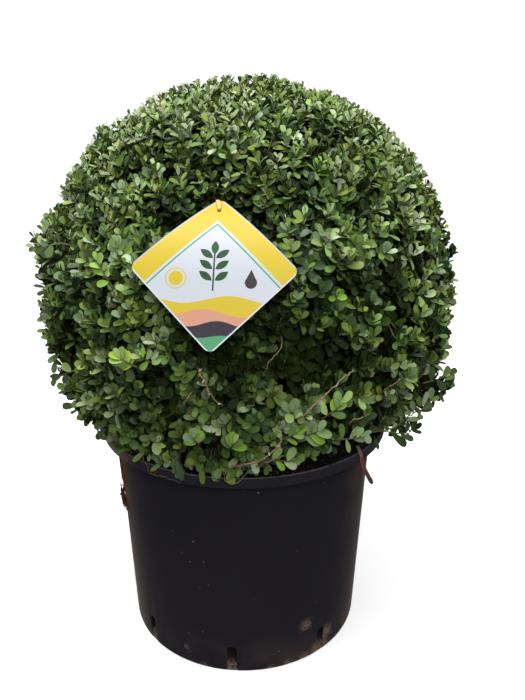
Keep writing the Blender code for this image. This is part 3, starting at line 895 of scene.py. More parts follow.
def over_label(points, margin, behind):
    """How far points stand out past a surface that lies behind the card by a distance, where
    they are within its square outline and a margin; elsewhere a negative number."""
    offset = points - LABEL_CENTRE
    across, up, out = offset @ LABEL_ACROSS, offset @ LABEL_UP, offset @ LABEL_NORMAL
    turn = np.arcsin(np.clip((up - LABEL_CURL_START) / LABEL_CURL_RADIUS, 0, 1))
    rise = np.where(up > LABEL_CURL_START, LABEL_CURL_START + LABEL_CURL_RADIUS * turn, up)
    inside = np.abs(rise) + np.abs(across) < LABEL_SIDE / math.sqrt(2) + margin
    back = LABEL_CURL_RADIUS * (1 - np.cos(turn))
    return np.where(inside, out + back + behind, -1.0)


# ------------------------------------------------------------------------------------------
# Leafy shoots: this year's growth, which the shears have cut level with the outline. Leaves
# stand round each shoot in a spiral, their glossy upper faces turned towards its tip and the
# sky. They are obovate, leathery and a little cupped, smaller where the ball is clipped hard.
# Their tones are dealt darker the deeper they lie and lighter or darker by region, as painted
# light and shade, and the paler bluish greens stand partly for a painted sheen.
# Values by level run from the crown's skirt to its top. A place on the crown is an azimuth, an
# elevation and how far it lies past a plain sphere. Sprigs that stand proud are a foot, a tip,
# a count and length of leaves, their lift and their tones in turn; lone leaves are a foot, a
# tip, a width as a share of the length and a tone; twigs that show are their stops and radius.

LEAVES_PER_SHOOT = 15
PIECE_LEAVES = 11000
LEAF_ZONE = 0.038
LEAF_STATIONS = (0.0, 0.17, 0.44, 0.72, 0.92, 1.0)
LEAF_CORNERS = 14
LEAF_SLENDERNESS = (0.47, 0.61)
LEVELS = (-40, -10, 20, 45, 70, 90)
LEAF_LENGTHS = (0.0168, 0.0165, 0.0156, 0.0142, 0.0132, 0.0126)
SHOOT_SHARES = (0.70, 0.72, 0.80, 0.94, 1.0, 1.0)
SHOOT_RISE = (1.8, 1.8, 1.3, 0.7, 0.3, 0.0)
SHOOT_INSETS = (0.0050, 0.0035, -0.0005, -0.0020, -0.0035, -0.0035)
CLIP_HEIGHTS = (0.0100, 0.0090, 0.0060, 0.0055, 0.0050, 0.0050)
CLUMP_SHARES = (1.0, 1.0, 0.9, 0.65, 0.5, 0.5)
SPLAY = (0.0, 0.05, 0.3, 0.75, 1.0, 1.0)
PRESSES = (0.75, 0.75, 0.60, 0.35, 0.10, 0.0)
LEAF_LIFT = 0.30
LEAF_FOLD, LEAF_CURL = (-0.10, 0.55), (-0.06, 0.26)
VASE_SPREAD = (16, 34, 52, 64)
FLAT_SPREAD = (30, 58, 76, 88)
TIP_SIZES = {0: 0.55, 1: 0.72, 3: 0.92, 5: 1.0}
SHORTEST_CUT = 0.42
CUT_EDGE = 0.940
CUT_LOWEST = 0.56
PETIOLE = 0.0016
GOLDEN = 137.5
LIP_INSIDE, LIP_OUTSIDE, LIP_ABOVE = 0.002, 0.0035, 0.001
COMPOST_CLEAR = 0.002
# Leaf greens in linear colour. Grey, bright and pale are paler, bluer greens: partly real paler leaves,
# partly a painted sheen of the sky on their wax. The tones also serve as lighter and darker copies of one
# green, dealt by depth and region as painted light and shade.
TONES = {
    "deep": (0.0150, 0.0270, 0.0060),
    "dark": (0.0310, 0.0600, 0.0125),
    "dark_blue": (0.0430, 0.0810, 0.0300),
    "mid": (0.0850, 0.1480, 0.0270),
    "mid_two": (0.1080, 0.1800, 0.0430),
    "mid_warm": (0.1400, 0.1980, 0.0330),
    "grey": (0.1680, 0.2360, 0.1170),
    "bright": (0.2050, 0.3020, 0.0960),
    "pale": (0.2850, 0.3680, 0.1990),
    "fresh": (0.1650, 0.3150, 0.0380),
    "lime": (0.2500, 0.3700, 0.0420),
    "old": (0.2600, 0.2100, 0.0550),
}
TONE_NAMES = list(TONES)
GREY, BRIGHT, PALE, FRESH = range(TONE_NAMES.index("grey"), TONE_NAMES.index("fresh") + 1)
TONE_SHARES = [0.06, 0.13, 0.15, 0.19, 0.18, 0.04, 0.13, 0.075, 0.031, 0.013, 0.001, 0.0]
# Depths under the outline at which a leaf's tone steps darker, as painted shade; the shallowest leaves step
# lighter, as painted light.
SHADING_DEPTHS = (0.005, 0.010, 0.015, 0.020, 0.027)
REGIONS = {
    "front_low": ((-55, -20), (62, 36), (-4, -20)),
    "left": ((-110, -90), (-32, -50), (24, 4)),
    "upper_left": ((-100, -80), (-8, -28), (12, 32)),
    "upper_right": ((12, 30), (100, 80), (12, 32)),
    "hard_clipped": ((-110, -80), (15, -10), (35, 55)),
}
# Painted light and shade by region: steps up the order of tones where more light falls, and down at the
# left.
PAINTED_LIGHT_STEPS = {"front_low": 0.28, "upper_left": 0.28, "upper_right": 0.10}
TOP_PAINTED_LIGHT = 0.15
TOP_LEVELS = (5, 40)
LEFT_PAINTED_SHADE = 0.14
LIGHTEST_FROM = 0.9
GREY_TO_BRIGHT, BRIGHT_TO_PALE = 0.75, 0.40
OLD_SHARE = 0.0012
LEAF_ROUGHNESS = 0.44
LEAF_GLOSS = 0.24
DEEP_GLOSS = 0.10
SKIRT_SHOOTS = [(-36, 0.342), (-33, 0.339), (-29, 0.339), (-26, 0.335), (-23.2, 0.331), (-22.4, 0.324),
                (-18.5, 0.340), (-15.5, 0.339), (-14.2, 0.326), (-12, 0.340), (-10, 0.331), (-8, 0.327),
                (-4.4, 0.333), (-2, 0.336), (2.6, 0.336), (6.8, 0.338)]
SKIRT_REACH = 0.2072
SKIRT_LEAVES = {"count": 5, "zone": 0.016, "length": 0.0168, "splay": 0.3, "lift": -0.9, "press": 0.9}
SKIRT_TONES = ("dark", "dark_blue", "mid", "mid_two", "grey")
INNER_LEAVES = {"count": 9, "zone": 0.07, "length": 0.0185, "splay": 0.8, "lift": 0.1, "press": 0.5}
SPRIG_RADII = (0.0012, 0.0006)
SPRIGS = [
    ((56, -17, -0.008), (64, -15, 0.012), 4, 0.0165, 0.30, "dark dark_blue mid"),
    ((-45, -8, -0.008), (-55, -12.5, 0.010), 5, 0.0150, -0.35, "dark mid dark_blue"),
    ((-62, 20, -0.010), (-67, 17, 0.014), 6, 0.0145, 0.20, "mid grey dark mid_two"),
    ((-26, -3.5, -0.004), (-28.5, -0.5, 0.009), 10, 0.0150, 0.20, "lime fresh mid_two lime bright"),
    ((-22.5, -2, -0.006), (-24, 0.5, 0.006), 6, 0.0120, 0.20, "fresh bright mid_two"),
    ((-33, 13, -0.008), (-36.5, 19, 0.008), 7, 0.0140, 0.25, "fresh bright fresh mid_two"),
    ((-14, -25, -0.008), (-13, -18, 0.010), 6, 0.0150, 0.20, "fresh bright grey"),
    ((33, 63, -0.008), (50, 67, 0.000), 8, 0.0110, 0.10, "fresh mid_two lime mid_warm bright mid"),
    ((42, 61, -0.008), (56, 64, 0.000), 7, 0.0110, 0.10, "mid_warm fresh mid bright"),
    ((6, -23, -0.008), (10.5, -16, 0.010), 6, 0.0170, 0.35, "bright fresh mid_two"),
    ((3, -29, -0.006), (11, -26, 0.008), 7, 0.0165, 0.20, "bright fresh mid pale"),
    ((11, -22, -0.008), (15, -16.5, 0.010), 7, 0.0172, 0.35, "bright mid_two grey fresh"),
    ((17, -17, -0.008), (20, -10, 0.010), 7, 0.0172, 0.35, "bright mid_two fresh"),
    ((-6, -26, -0.008), (-4, -19, 0.009), 6, 0.0170, 0.30, "mid_two fresh bright"),
    ((23, -25, -0.008), (27, -21, 0.010), 6, 0.0168, 0.30, "mid bright grey"),
]
LONE_LEAVES = [
    ((47.7, -30.5, -0.0025), (50.4, -31.4, 0.0204), 0.42, "dark"),
    ((49.7, -30.1, 0.0055), (52.4, -29.9, 0.0208), 0.42, "dark_blue"),
    ((51.8, -29.8, 0.0082), (52.7, -27.3, 0.0023), 0.46, "dark"),
    ((53.8, -26.4, 0.0061), (53.1, -28.8, 0.0126), 0.42, "dark"),
    ((48.8, -28.2, -0.003), (48.1, -29.6, -0.0015), 0.45, "dark"),
    ((48.8, -25.4, -0.0042), (47.8, -23.0, -0.0144), 0.50, "grey"),
    ((50.6, -24.4, -0.002), (49.0, -22.1, -0.0112), 0.54, "bright"),
    ((52.2, -23.4, -0.0004), (51.5, -20.7, -0.007), 0.48, "grey"),
    ((54.1, -22.2, 0.0037), (53.2, -19.6, -0.0051), 0.50, "mid"),
    ((54.6, -22.1, 0.0047), (55.2, -18.0, 0.001), 0.44, "pale"),
    ((56.7, -20.3, 0.0076), (56.6, -17.1, 0.003), 0.50, "grey"),
    ((56.6, -20.8, 0.008), (58.6, -19.2, 0.0154), 0.44, "mid_two"),
    ((54.3, -22.8, 0.0074), (56.7, -20.8, 0.012), 0.50, "dark_blue"),
    ((54.0, -23.4, 0.0058), (56.9, -22.2, 0.0147), 0.44, "dark"),
    ((52.8, -23.8, 0.0057), (53.8, -24.3, 0.0134), 0.50, "mid_warm"),
    ((49.9, -25.7, 0.0005), (52.8, -24.4, 0.0095), 0.42, "grey"),
    ((45.5, -27.9, -0.004), (46.6, -26.1, -0.0035), 0.46, "bright"),
    ((43.5, -27.2, -0.0123), (43.7, -24.8, -0.0167), 0.56, "mid_two"),
    ((62.7, -17.5, 0.0108), (64.4, -17.1, 0.0247), 0.46, "dark_blue"),
    ((63.1, -16.7, 0.0101), (64.8, -14.8, 0.0191), 0.44, "mid"),
    ((-62.6, -20.6, -0.0018), (-65.7, -18.3, 0.0066), 0.44, "mid"),
    ((-62.5, -20.7, -0.0028), (-63.6, -18.0, -0.0024), 0.42, "grey"),
    ((-61.0, -21.3, -0.0091), (-63.0, -21.9, 0.0057), 0.44, "dark_blue"),
    ((-60.4, -24.2, 0.0002), (-63.2, -23.4, 0.0147), 0.48, "dark"),
    ((-57.2, -25.8, -0.0031), (-58.5, -26.6, 0.0101), 0.46, "mid"),
    ((-56.4, -26.1, -0.0083), (-56.5, -27.5, 0.0031), 0.42, "dark_blue"),
    ((-51.6, -28.4, -0.0158), (-53.4, -29.4, 0.0014), 0.44, "mid"),
    ((-50.0, -29.7, -0.0077), (-51.6, -30.9, 0.0093), 0.46, "dark_blue"),
    ((-41.5, -31.2, -0.0115), (-37.6, -33.6, -0.0102), 0.60, "mid"),
    ((-36.5, -35.3, -0.0115), (-38.7, -35.5, 0.0053), 0.36, "mid_two"),
    ((-25.4, -29.3, -0.0138), (-28.1, -27.9, -0.0071), 0.52, "lime"),
    ((-26.3, -32.1, -0.0163), (-26.3, -34.0, -0.0039), 0.50, "mid_warm"),
    ((-16.0, -36.2, -0.0163), (-15.3, -39.0, 0.0059), 0.30, "mid"),
    ((-25.2, -36.2, -0.0156), (-22.1, -39.4, 0.0045), 0.30, "dark_blue"),
    ((-12.1, -36.9, -0.0131), (-11.3, -38.6, 0.0006), 0.42, "mid_two"),
    ((-6.9, -36.1, -0.0206), (-6.0, -38.1, -0.0035), 0.44, "mid"),
    ((42.8, -32.3, -0.0113), (43.4, -34.1, 0.0024), 0.34, "dark"),
    ((3.6, -0.1, -0.0340), (6.4, 1.6, -0.0300), 0.60, "dark"),
    ((3.8, 1.3, -0.0380), (6.3, -0.2, -0.0360), 0.56, "deep"),
    ((-78.7, 7.5, -0.0096), (-77.9, 7.8, 0.0021), 0.50, "grey"),
    ((-78.0, 4.7, -0.0080), (-77.5, 5.4, 0.0066), 0.30, "dark"),
    ((-77.6, 3.9, -0.0090), (-76.3, 3.1, 0.0024), 0.44, "dark_blue"),
    ((-76.0, 0.3, -0.0118), (-75.6, 3.7, -0.0114), 0.54, "grey"),
    ((-75.1, -2.3, -0.0098), (-74.7, -0.1, -0.0034), 0.44, "dark"),
    ((-74.9, -2.9, -0.01), (-74.1, -3.2, 0.0055), 0.46, "dark_blue"),
    ((-73.9, -6.1, -0.0046), (-73.2, -5.8, 0.0079), 0.42, "mid"),
    ((-72.6, -9.1, -0.0054), (-71.2, -9.7, 0.0022), 0.42, "dark"),
    ((-70.8, -12.6, -0.0102), (-69.6, -13.5, 0.0057), 0.46, "mid"),
    ((-70.5, -14.1, -0.0034), (-68.2, -16.1, 0.0043), 0.48, "dark_blue"),
    ((-68.4, -18.2, -0.0037), (-68.3, -16.7, 0.0102), 0.34, "deep"),
    ((-66.8, -20.6, -0.0083), (-65.4, -20.9, 0.0024), 0.30, "dark"),
]
LONE_STEMS = [
    [(39.4, -30.8, -0.0179), (41.5, -29.2, -0.0116), (43.7, -29.0, -0.0089), (47.2, -27.4, -0.0032),
     (49.1, -26.1, -0.0022), (51.2, -24.7, 0.0003), (53.5, -23.0, 0.0041), (54.7, -22.1, 0.006),
     (56.6, -20.4, 0.0081)],
    [(43.7, -29.0, -0.0089), (47.4, -30.1, -0.0029), (50.4, -29.5, 0.0065), (52.0, -29.3, 0.0115)],
]
LONE_STEM_RADIUS = 0.0010
SPRIG_FACING = np.array([0.0, -0.85, 0.50])
SPRIG_SPREAD = (68.0, 20.0)
SHOWING_TWIGS = [
    ([(-11.3, -2.0, -0.004), (-10.3, -3.5, 0.002), (-9.1, -6.0, 0.004), (-7.6, -8.4, 0.004),
      (-6.4, -10.6, -0.002)], 0.00115),
    ([(7.5, 4.7, -0.034), (6.4, 3.0, -0.006), (4.3, 0.7, -0.002), (3.1, -2.1, -0.004),
      (2.3, -5.3, -0.030)], 0.0006),
    ([(10.9, -15.9, -0.006), (11.2, -13.8, 0.001), (12.9, -11.4, 0.004), (15.1, -8.9, 0.005),
      (18.0, -5.8, 0.006), (19.5, -4.5, 0.006), (21.8, -3.7, 0.002), (23.7, -4.2, -0.006)], 0.0010),
    ([(-5.3, -31.2, -0.003), (-2.1, -27.5, 0.005), (1.4, -25.8, 0.007), (4.4, -22.8, 0.008),
      (6.2, -20.5, 0.007), (7.4, -19.9, -0.003)], 0.00135),
    ([(1.4, -32.0, -0.004), (3.8, -27.5, 0.003), (6.6, -25.2, 0.005), (10.1, -27.0, -0.004)], 0.0007),
    ([(-15.9, -12.0, -0.005), (-14.1, -8.7, 0.002), (-13.3, -7.9, -0.004)], 0.0009),
    ([(25.3, -19.2, -0.005), (24.9, -16.7, 0.003), (26.6, -16.1, 0.004), (28.8, -15.5, 0.004)], 0.0009),
    ([(34.0, -11.6, -0.005), (34.2, -9.1, 0.003), (37.7, -8.5, 0.002)], 0.0006),
    ([(-14.5, 43.6, -0.006), (-13.0, 44.5, 0.001), (-10.8, 45.5, 0.005)], 0.0006),
    ([(-4.4, 45.4, -0.006), (-3.1, 45.5, 0.001), (-1.3, 45.5, 0.005)], 0.0006),
    ([(-54.5, -14.0, -0.006), (-54.5, -12.3, 0.002), (-52.4, -9.3, 0.006)], 0.0007),
]
RIM_TWIG = [(-7.7, 0.1990, 0.3330), (-6.8, 0.2045, 0.3275), (-6.1, 0.2068, 0.3205),
            (-4.5, 0.2070, 0.3160), (-2.8, 0.2070, 0.3177), (-0.9, 0.2065, 0.3241),
            (1.0, 0.2052, 0.3315), (3.8, 0.1990, 0.3350)]
RIM_TWIG_RADIUS = 0.0008
TWIG_KINK = 0.0005
CLEARED_TWIGS = 9
CLEARED_FRONT = -0.15
TWIG_CLEARING = 0.0048
CLEARED_SHARE = 0.62
PALE_STUBS = [(-10.8, -1.7, 0.004), (-10.2, -4.2, 0.004), (-8.9, -6.8, 0.005), (-6.9, -9.0, 0.006),
              (6.4, -20.4, 0.008), (4.2, -22.9, 0.009)]
SHOWING_SEED, RIM_TWIG_SEED, LONE_STEM_SEED = 50, 45, 150


def leaf_width(share):
    """Half width of an obovate leaf of width 1 at shares s of its length: s^0.65 sqrt(1 - s^2.6),
    halved and divided by that curve's greatest value, 0.618."""
    return 0.5 * share**0.65 * np.sqrt(np.maximum(1 - share**2.6, 0)) / 0.618


def leaf_points(base, heading, face, length, width, fold, curl, cut):
    """Fourteen points a leaf: base, four stations of left, middle and right, and tip. Its middle
    line sinks by curl x share^2, its sides rise by fold x half width, and a cut leaf ends
    blunt at that share of its length."""
    side = np.cross(heading, face)
    stations = np.array(LEAF_STATIONS)[None] * cut[:, None]
    stations[:, 5] = np.where(cut < 1, CUT_EDGE * cut, stations[:, 5])
    half = leaf_width(stations) * width[:, None]
    along = (stations * length[:, None])[..., None] * heading[:, None]
    sink = curl[:, None] * stations**2 * length[:, None]
    middle = base[:, None] + along - sink[..., None] * face[:, None]
    rise = (fold[:, None] * half)[..., None] * face[:, None]
    left = middle - half[..., None] * side[:, None] + rise
    right = middle + half[..., None] * side[:, None] + rise
    rows = [middle[:, :1]]
    for station in (1, 2, 3, 4):
        rows += [left[:, station:station + 1], middle[:, station:station + 1], right[:, station:station + 1]]
    rows.append(middle[:, 5:])
    return np.concatenate(rows, axis=1)


LEAF_ENDS = np.array([(0, 2, 1), (0, 3, 2), (10, 11, 13), (11, 12, 13)])
LEAF_QUADS = np.array([(1, 2, 5, 4), (2, 3, 6, 5), (4, 5, 8, 7), (5, 6, 9, 8),
                       (7, 8, 11, 10), (8, 9, 12, 11)])


def at_level(elevation, values):
    """Values by level, taken between the levels at elevations."""
    return np.interp(elevation, LEVELS, values)


def leaf_faces(count):
    """Triangles and quads of count leaves."""
    first = (LEAF_CORNERS * np.arange(count))[:, None, None]
    return [(first + LEAF_ENDS).reshape(-1, 3), (first + LEAF_QUADS).reshape(-1, 4)]


def dealt_leaves(start, leave, ends, headings, out, count, zone, length, splay, lift, press):
    """Leaves round shoots. Leaf j stands at zone x (j / count)^0.85 from the tip, turned by j
    golden angles, leaning from the shoot by an angle between a vase's and a flat tuft's as the
    splay goes from 0 to 1, and then laid along the crown by taking away a share of press of the
    part of its heading that points outwards; its face is the part of the shoot's heading square
    to it, turned towards the sky and outwards, and the leaves nearest the tip are the smaller
    ones. Every measure varies by a seeded draw. Returns, for the leaves of one shoot after the
    other, where they start, headings, faces, lengths, widths, folds and curls."""
    shoots = len(ends)
    zone, length, splay, press = (np.broadcast_to(value, shoots) for value in (zone, length, splay, press))
    j = np.arange(count)
    span = np.linalg.norm(ends - start, axis=-1, keepdims=True)
    back = zone[:, None] * (j / count) ** 0.85 + grow.uniform(0, 0.0015, (shoots, count))
    share = np.clip(1 - back / span, 0.02, 1.0)
    base, axis = curve(start, leave, ends, headings, share)
    guide = unit(np.cross(axis, [0.31, 0.17, 0.94]))
    other = np.cross(axis, guide)
    turn = np.radians(GOLDEN * j + grow.uniform(0, 360, (shoots, 1)) + grow.normal(0, 14, (shoots, count)))
    radial = np.cos(turn)[..., None] * guide + np.sin(turn)[..., None] * other
    ranks = (0, 2, 6, max(count - 1, 7))
    vase, tuft = (np.interp(j, ranks, spread) for spread in (VASE_SPREAD, FLAT_SPREAD))
    lean = vase + (tuft - vase) * splay[:, None]
    lean = np.radians(lean + grow.normal(0, 9, (shoots, count)) * (1 + 1.2 * splay[:, None]))
    heading = np.cos(lean)[..., None] * axis + np.sin(lean)[..., None] * radial
    heading = unit(heading + UP * lift + grow.normal(0, 0.08, heading.shape))
    laid = np.clip(press[:, None, None] * grow.uniform(-0.35, 1.25, (shoots, count, 1)), 0, 1)
    heading = unit(heading - laid * (heading * out[:, None]).sum(-1, keepdims=True) * out[:, None])
    face = square_to(axis, heading) * (1 - 0.6 * laid)
    face = face + 0.45 * UP + (0.30 + 0.45 * laid) * out[:, None]
    face = square_to(face + grow.normal(0, 0.36, face.shape), heading)
    size = np.interp(j, list(TIP_SIZES), list(TIP_SIZES.values()))
    long = length[:, None] * size * grow.uniform(0.84, 1.14, (shoots, count))
    wide = long * grow.uniform(*LEAF_SLENDERNESS, (shoots, count))
    base = base + heading * PETIOLE * 0.3
    fold = grow.uniform(*LEAF_FOLD, (shoots, count))
    curl = grow.uniform(*LEAF_CURL, (shoots, count))
    flat = [array.reshape(-1, 3) for array in (base, heading, face)]
    return flat + [array.ravel() for array in (long, wide, fold, curl)]


def two_ranked(path, path_headings, facing, count, length, lift):
    """Leaves to the left and right in turn along the outer two thirds of a sprig, and one at its
    tip. Each lies square to facing and leans from the stem by 68 degrees at the back to 20 near
    the tip: heading = stem cos a +- (facing x stem) sin a, with lift added."""
    share = np.linspace(0.30, 0.97, count)
    share[-1] = 1.0
    at = np.stack([np.interp(share, np.linspace(0, 1, len(path)), axis) for axis in path.T], -1)
    stem = np.stack([np.interp(share, np.linspace(0, 1, len(path)), axis) for axis in path_headings.T], -1)
    lean = np.interp(share, (0.3, 1.0), SPRIG_SPREAD) + grow.normal(0, 15, count)
    lean = np.radians(lean * (-1.0) ** np.arange(count))
    lean[-1] *= 0.3
    heading = np.cos(lean)[:, None] * stem + np.sin(lean)[:, None] * np.cross(facing, stem)
    heading = unit(heading + 0.4 * lift * UP)
    heading = unit(heading - 0.7 * (heading * facing).sum(-1, keepdims=True) * facing)
    face = square_to(facing + grow.normal(0, 0.34, (count, 3)), heading)
    long = length * np.interp(share, (0.3, 0.9, 1.0), (1.0, 0.92, 0.8)) * grow.uniform(0.78, 1.15, count)
    wide = long * grow.uniform(*LEAF_SLENDERNESS, count)
    return at, heading, face, long, wide, grow.uniform(0, 0.3, count), grow.uniform(0, 0.2, count)


def clear_of_pot(points):
    """True where a point is outside the lip and wall, above the compost, and not below the lip
    outside the pot."""
    radius, height = np.hypot(points[..., 0], points[..., 1]), points[..., 2]
    by_lip = (radius > POT_RIM.x - WALL - LIP_INSIDE) & (radius < POT_RIM.x + LIP_OUTSIDE)
    in_lip = by_lip & (height < POT_RIM.z + LIP_ABOVE)
    in_soil = (radius <= POT_RIM.x) & (height < compost_top(radius) + COMPOST_CLEAR)
    return ~(in_lip | in_soil)


def within(region, azimuth, elevation):
    """1 inside a region of the crown and 0 outside, with soft edges: its pairs are where its left,
    right and level edges go from 0 to 1."""
    left, right, level = REGIONS[region]
    return smooth(azimuth, *left) * smooth(azimuth, *right) * smooth(elevation, *level)


def lightened(order, step, region):
    """Moves a region's shoots up the order of tones by a step, apart from the lightest ones, as painted
    light.
    """
    return order + step * region * (order < LIGHTEST_FROM - step)


def leaf_group(leaves, tone, hangs, cut=None):
    """Leaves as ten columns: where they start, headings, faces, lengths, widths, folds, curls,
    the share of each that the shears have left, its tone, and whether it may hang at the rim."""
    count = len(leaves[0])
    return [*leaves, np.ones(count) if cut is None else cut, np.asarray(tone), np.full(count, hangs)]


def crown_points(places):
    """Points at azimuths, elevations and distances past the crown's plain sphere."""
    azimuth, elevation, past = np.array(places, float).T
    return CROWN_CENTRE + aim(azimuth, elevation) * (CROWN_RADIUS + past)[:, None]


def bent_path(stops, steps):
    """A path through stops, which passes each along the line from the stop before to the stop
    after it."""
    ways = unit(np.gradient(stops, axis=0))
    share = np.broadcast_to(np.linspace(0, 1, steps + 1)[:-1], (len(stops) - 1, steps))
    points, _ = curve(stops[:-1], ways[:-1], stops[1:], ways[1:], share)
    return np.concatenate([points.reshape(-1, 3), stops[-1:]])


def crooked_twig(stops, radius, seed, sides=6):
    """A twig through stops: kinks of three ripples are added to its path, and its radius falls
    to 0.6 of itself and swells at its nodes."""
    path = bent_path(np.asarray(stops), 7)
    path = path + TWIG_KINK * np.stack([ripple(path, 0.009, seed + axis) for axis in range(3)], -1)
    ways = unit(np.gradient(path, axis=0))
    radii = radius * np.linspace(1, 0.6, len(path)) * (1 + 0.14 * ripple(path, 0.006, seed + 3))
    return path, tubes(path[None], ways[None], radii[None], sides)


shoot_count = int(4 * math.pi * CROWN_RADIUS**2 / SHOOT_SPACING**2)
ways = unit(even_directions(shoot_count) + grow.normal(0, 0.014, (shoot_count, 3)))
azimuth, elevation = turn_and_rise(ways)
inset = at_level(elevation, SHOOT_INSETS) + grow.exponential(0.0018, len(ways))
inset = inset + hollow_depth(ways) * at_level(elevation, CLUMP_SHARES)
ends = CROWN_CENTRE + ways * (reach(ways) - inset)[:, None]
ends = ends - ways * np.maximum(over_label(ends, **SHOOTS_CLEAR), 0)[:, None]
keep = (elevation > LOWEST_SHOOT) & clear_of_pot(ends) & above_hem(ends, 0.0)
keep &= grow.random(len(ways)) < at_level(elevation, SHOOT_SHARES)
ways, ends, azimuth, elevation = ways[keep], ends[keep], azimuth[keep], elevation[keep]
rise = at_level(elevation, SHOOT_RISE)[:, None] * UP
headings = unit(ways + rise + grow.normal(0, 0.24, ways.shape))
path, path_headings, start, leave = grown_on(hosts, host_headings, ends, headings, 0.5, 6)
green_wood = [tubes(path, path_headings, tapered(SHOOT_RADII, 6, len(ends)), 3)]
leaf_length = at_level(elevation, LEAF_LENGTHS) * grow.uniform(0.88, 1.12, len(ends))
zone = LEAF_ZONE * grow.uniform(0.8, 1.15, len(ends))
leaves = dealt_leaves(start, leave, ends, headings, ways, LEAVES_PER_SHOOT, zone, leaf_length,
                      at_level(elevation, SPLAY), LEAF_LIFT, at_level(elevation, PRESSES))

patch = 0.8 * ripple(ends, 0.09, 41) + 0.5 * ripple(ends, 0.04, 42)
order = np.argsort(np.argsort(patch + grow.normal(0, 1.3, len(ends)))) / len(ends)
# Painted light and shade: the front low, upper left, upper right and top get lighter tones, the left darker
# ones, and in the front low some grey and bright shoots turn bright and pale.
masks = {region: within(region, azimuth, elevation) for region in REGIONS}
order = lightened(order, PAINTED_LIGHT_STEPS["front_low"], masks["front_low"]) - LEFT_PAINTED_SHADE * masks["left"]
for region in ("upper_left", "upper_right"):
    order = lightened(order, PAINTED_LIGHT_STEPS[region], masks[region])
order = np.minimum(lightened(order, TOP_PAINTED_LIGHT, smooth(elevation, *TOP_LEVELS)), 0.9999)
shoot_tone = np.searchsorted(np.cumsum(TONE_SHARES), order).clip(0, len(TONES) - 1)
chance, front_low = grow.random(len(ends)), masks["front_low"]
shoot_tone = np.where((shoot_tone == BRIGHT) & (chance < BRIGHT_TO_PALE * front_low), PALE, shoot_tone)
shoot_tone = np.where((shoot_tone == GREY) & (chance < GREY_TO_BRIGHT * front_low), BRIGHT, shoot_tone)
tone = np.repeat(shoot_tone, LEAVES_PER_SHOOT)
# Painted light and shade by depth: leaves near the outline go a tone lighter and deeper ones up to four
# tones darker, with a random step added.
base, heading, _, long = leaves[:4]
tip = base + heading * long[:, None]
middle = (base + tip) / 2 - CROWN_CENTRE
depth = reach(unit(middle)) - np.linalg.norm(middle, axis=1)
depth_shading = 1 - np.searchsorted(SHADING_DEPTHS, depth) + grow.choice([-1, 0, 0, 1], len(tone))
depth_shaded = (tone < FRESH) | (depth > SHADING_DEPTHS[2])
tone = np.where(depth_shaded, np.clip(np.minimum(tone, PALE) + depth_shading, 0, PALE), tone)
tone[grow.random(len(tone)) < OLD_SHARE] = TONE_NAMES.index("old")
tip_way = unit(tip - CROWN_CENTRE)
over = np.linalg.norm(tip - CROWN_CENTRE, axis=1) - reach(tip_way)
over = over - at_level(turn_and_rise(tip_way)[1], CLIP_HEIGHTS)
outward = np.maximum((heading * tip_way).sum(1), 0.15)
cut = np.clip(1 - np.maximum(over, 0) / outward / long, 0, 1)
groups = [leaf_group(leaves, tone, False, cut)]

skirt_turn, skirt_height = np.array(SKIRT_SHOOTS).T
skirt_out = aim(skirt_turn)
skirt_ends = skirt_out * SKIRT_REACH + skirt_height[:, None] * UP
skirt_headings = unit(skirt_out + [0, 0, -0.9] + grow.normal(0, 0.25, skirt_out.shape))
path, path_headings, start, leave = grown_on(hosts, host_headings, skirt_ends, skirt_headings, 0.5, 8)
green_wood.append(tubes(path, path_headings, tapered(SHOOT_RADII, 8, len(path)), 4))
hung = dealt_leaves(start, leave, skirt_ends, skirt_headings, skirt_out, **SKIRT_LEAVES)
hung_tones = [TONE_NAMES.index(name) for name in SKIRT_TONES]
groups.append(leaf_group(hung, grow.choice(hung_tones, len(hung[0])), True))

# Inner leaves inside the crown take only the two darkest tones: partly older inner leaves, partly painted
# shade inside the crown.
inner_out = unit(hosts[:, -1] - CROWN_CENTRE)
inner = dealt_leaves(hosts[:, 2], host_headings[:, 2], hosts[:, -1], host_headings[:, -1], inner_out,
                     **INNER_LEAVES)
groups.append(leaf_group(inner, grow.integers(0, 2, len(inner[0])), False))

for begin, end, count, length, lift, sprig_tones in SPRIGS:
    stops = crown_points([begin, end])
    way = unit(stops[1] - stops[0])
    out = unit(unit(stops[1:] - CROWN_CENTRE) + [0, -0.9, 0])
    path, path_headings, _, _ = grown_on(hosts, host_headings, stops[:1], way[None], 0.5, 6)
    green_wood.append(tubes(path, path_headings, np.full((1, 6), SPRIG_RADII[0]), 5))
    arrive = unit(way + 0.25 * np.sign(lift) * UP)[None]
    path, path_headings = curve(stops[:1], way[None], stops[1:], arrive, np.linspace(0, 1, 8)[None])
    green_wood.append(tubes(path, path_headings, np.linspace(*SPRIG_RADII, 8)[None], 5))
    sprig = two_ranked(path[0], path_headings[0], unit(0.5 * out + SPRIG_FACING), count, length, lift)
    tones = [TONE_NAMES.index(name) for name in sprig_tones.split()]
    groups.append(leaf_group(sprig, np.resize(tones, count), True))

lone_base, lone_tip, lone_width, lone_tone = zip(*LONE_LEAVES)
lone_base, lone_tip = crown_points(lone_base), crown_points(lone_tip)
lone_long, lone_heading = np.linalg.norm(lone_tip - lone_base, axis=1), unit(lone_tip - lone_base)
lone_face = square_to(SPRIG_FACING + grow.normal(0, 0.20, lone_base.shape), lone_heading)
lone = [lone_base, lone_heading, lone_face, lone_long, lone_long * lone_width]
lone += [grow.uniform(0.1, 0.4, len(lone_base)), grow.uniform(0, 0.2, len(lone_base))]
groups.append(leaf_group(lone, [TONE_NAMES.index(name) for name in lone_tone], True))
green_wood += [crooked_twig(crown_points(stops), LONE_STEM_RADIUS, LONE_STEM_SEED + 5 * turn)[1]
               for turn, stops in enumerate(LONE_STEMS)]

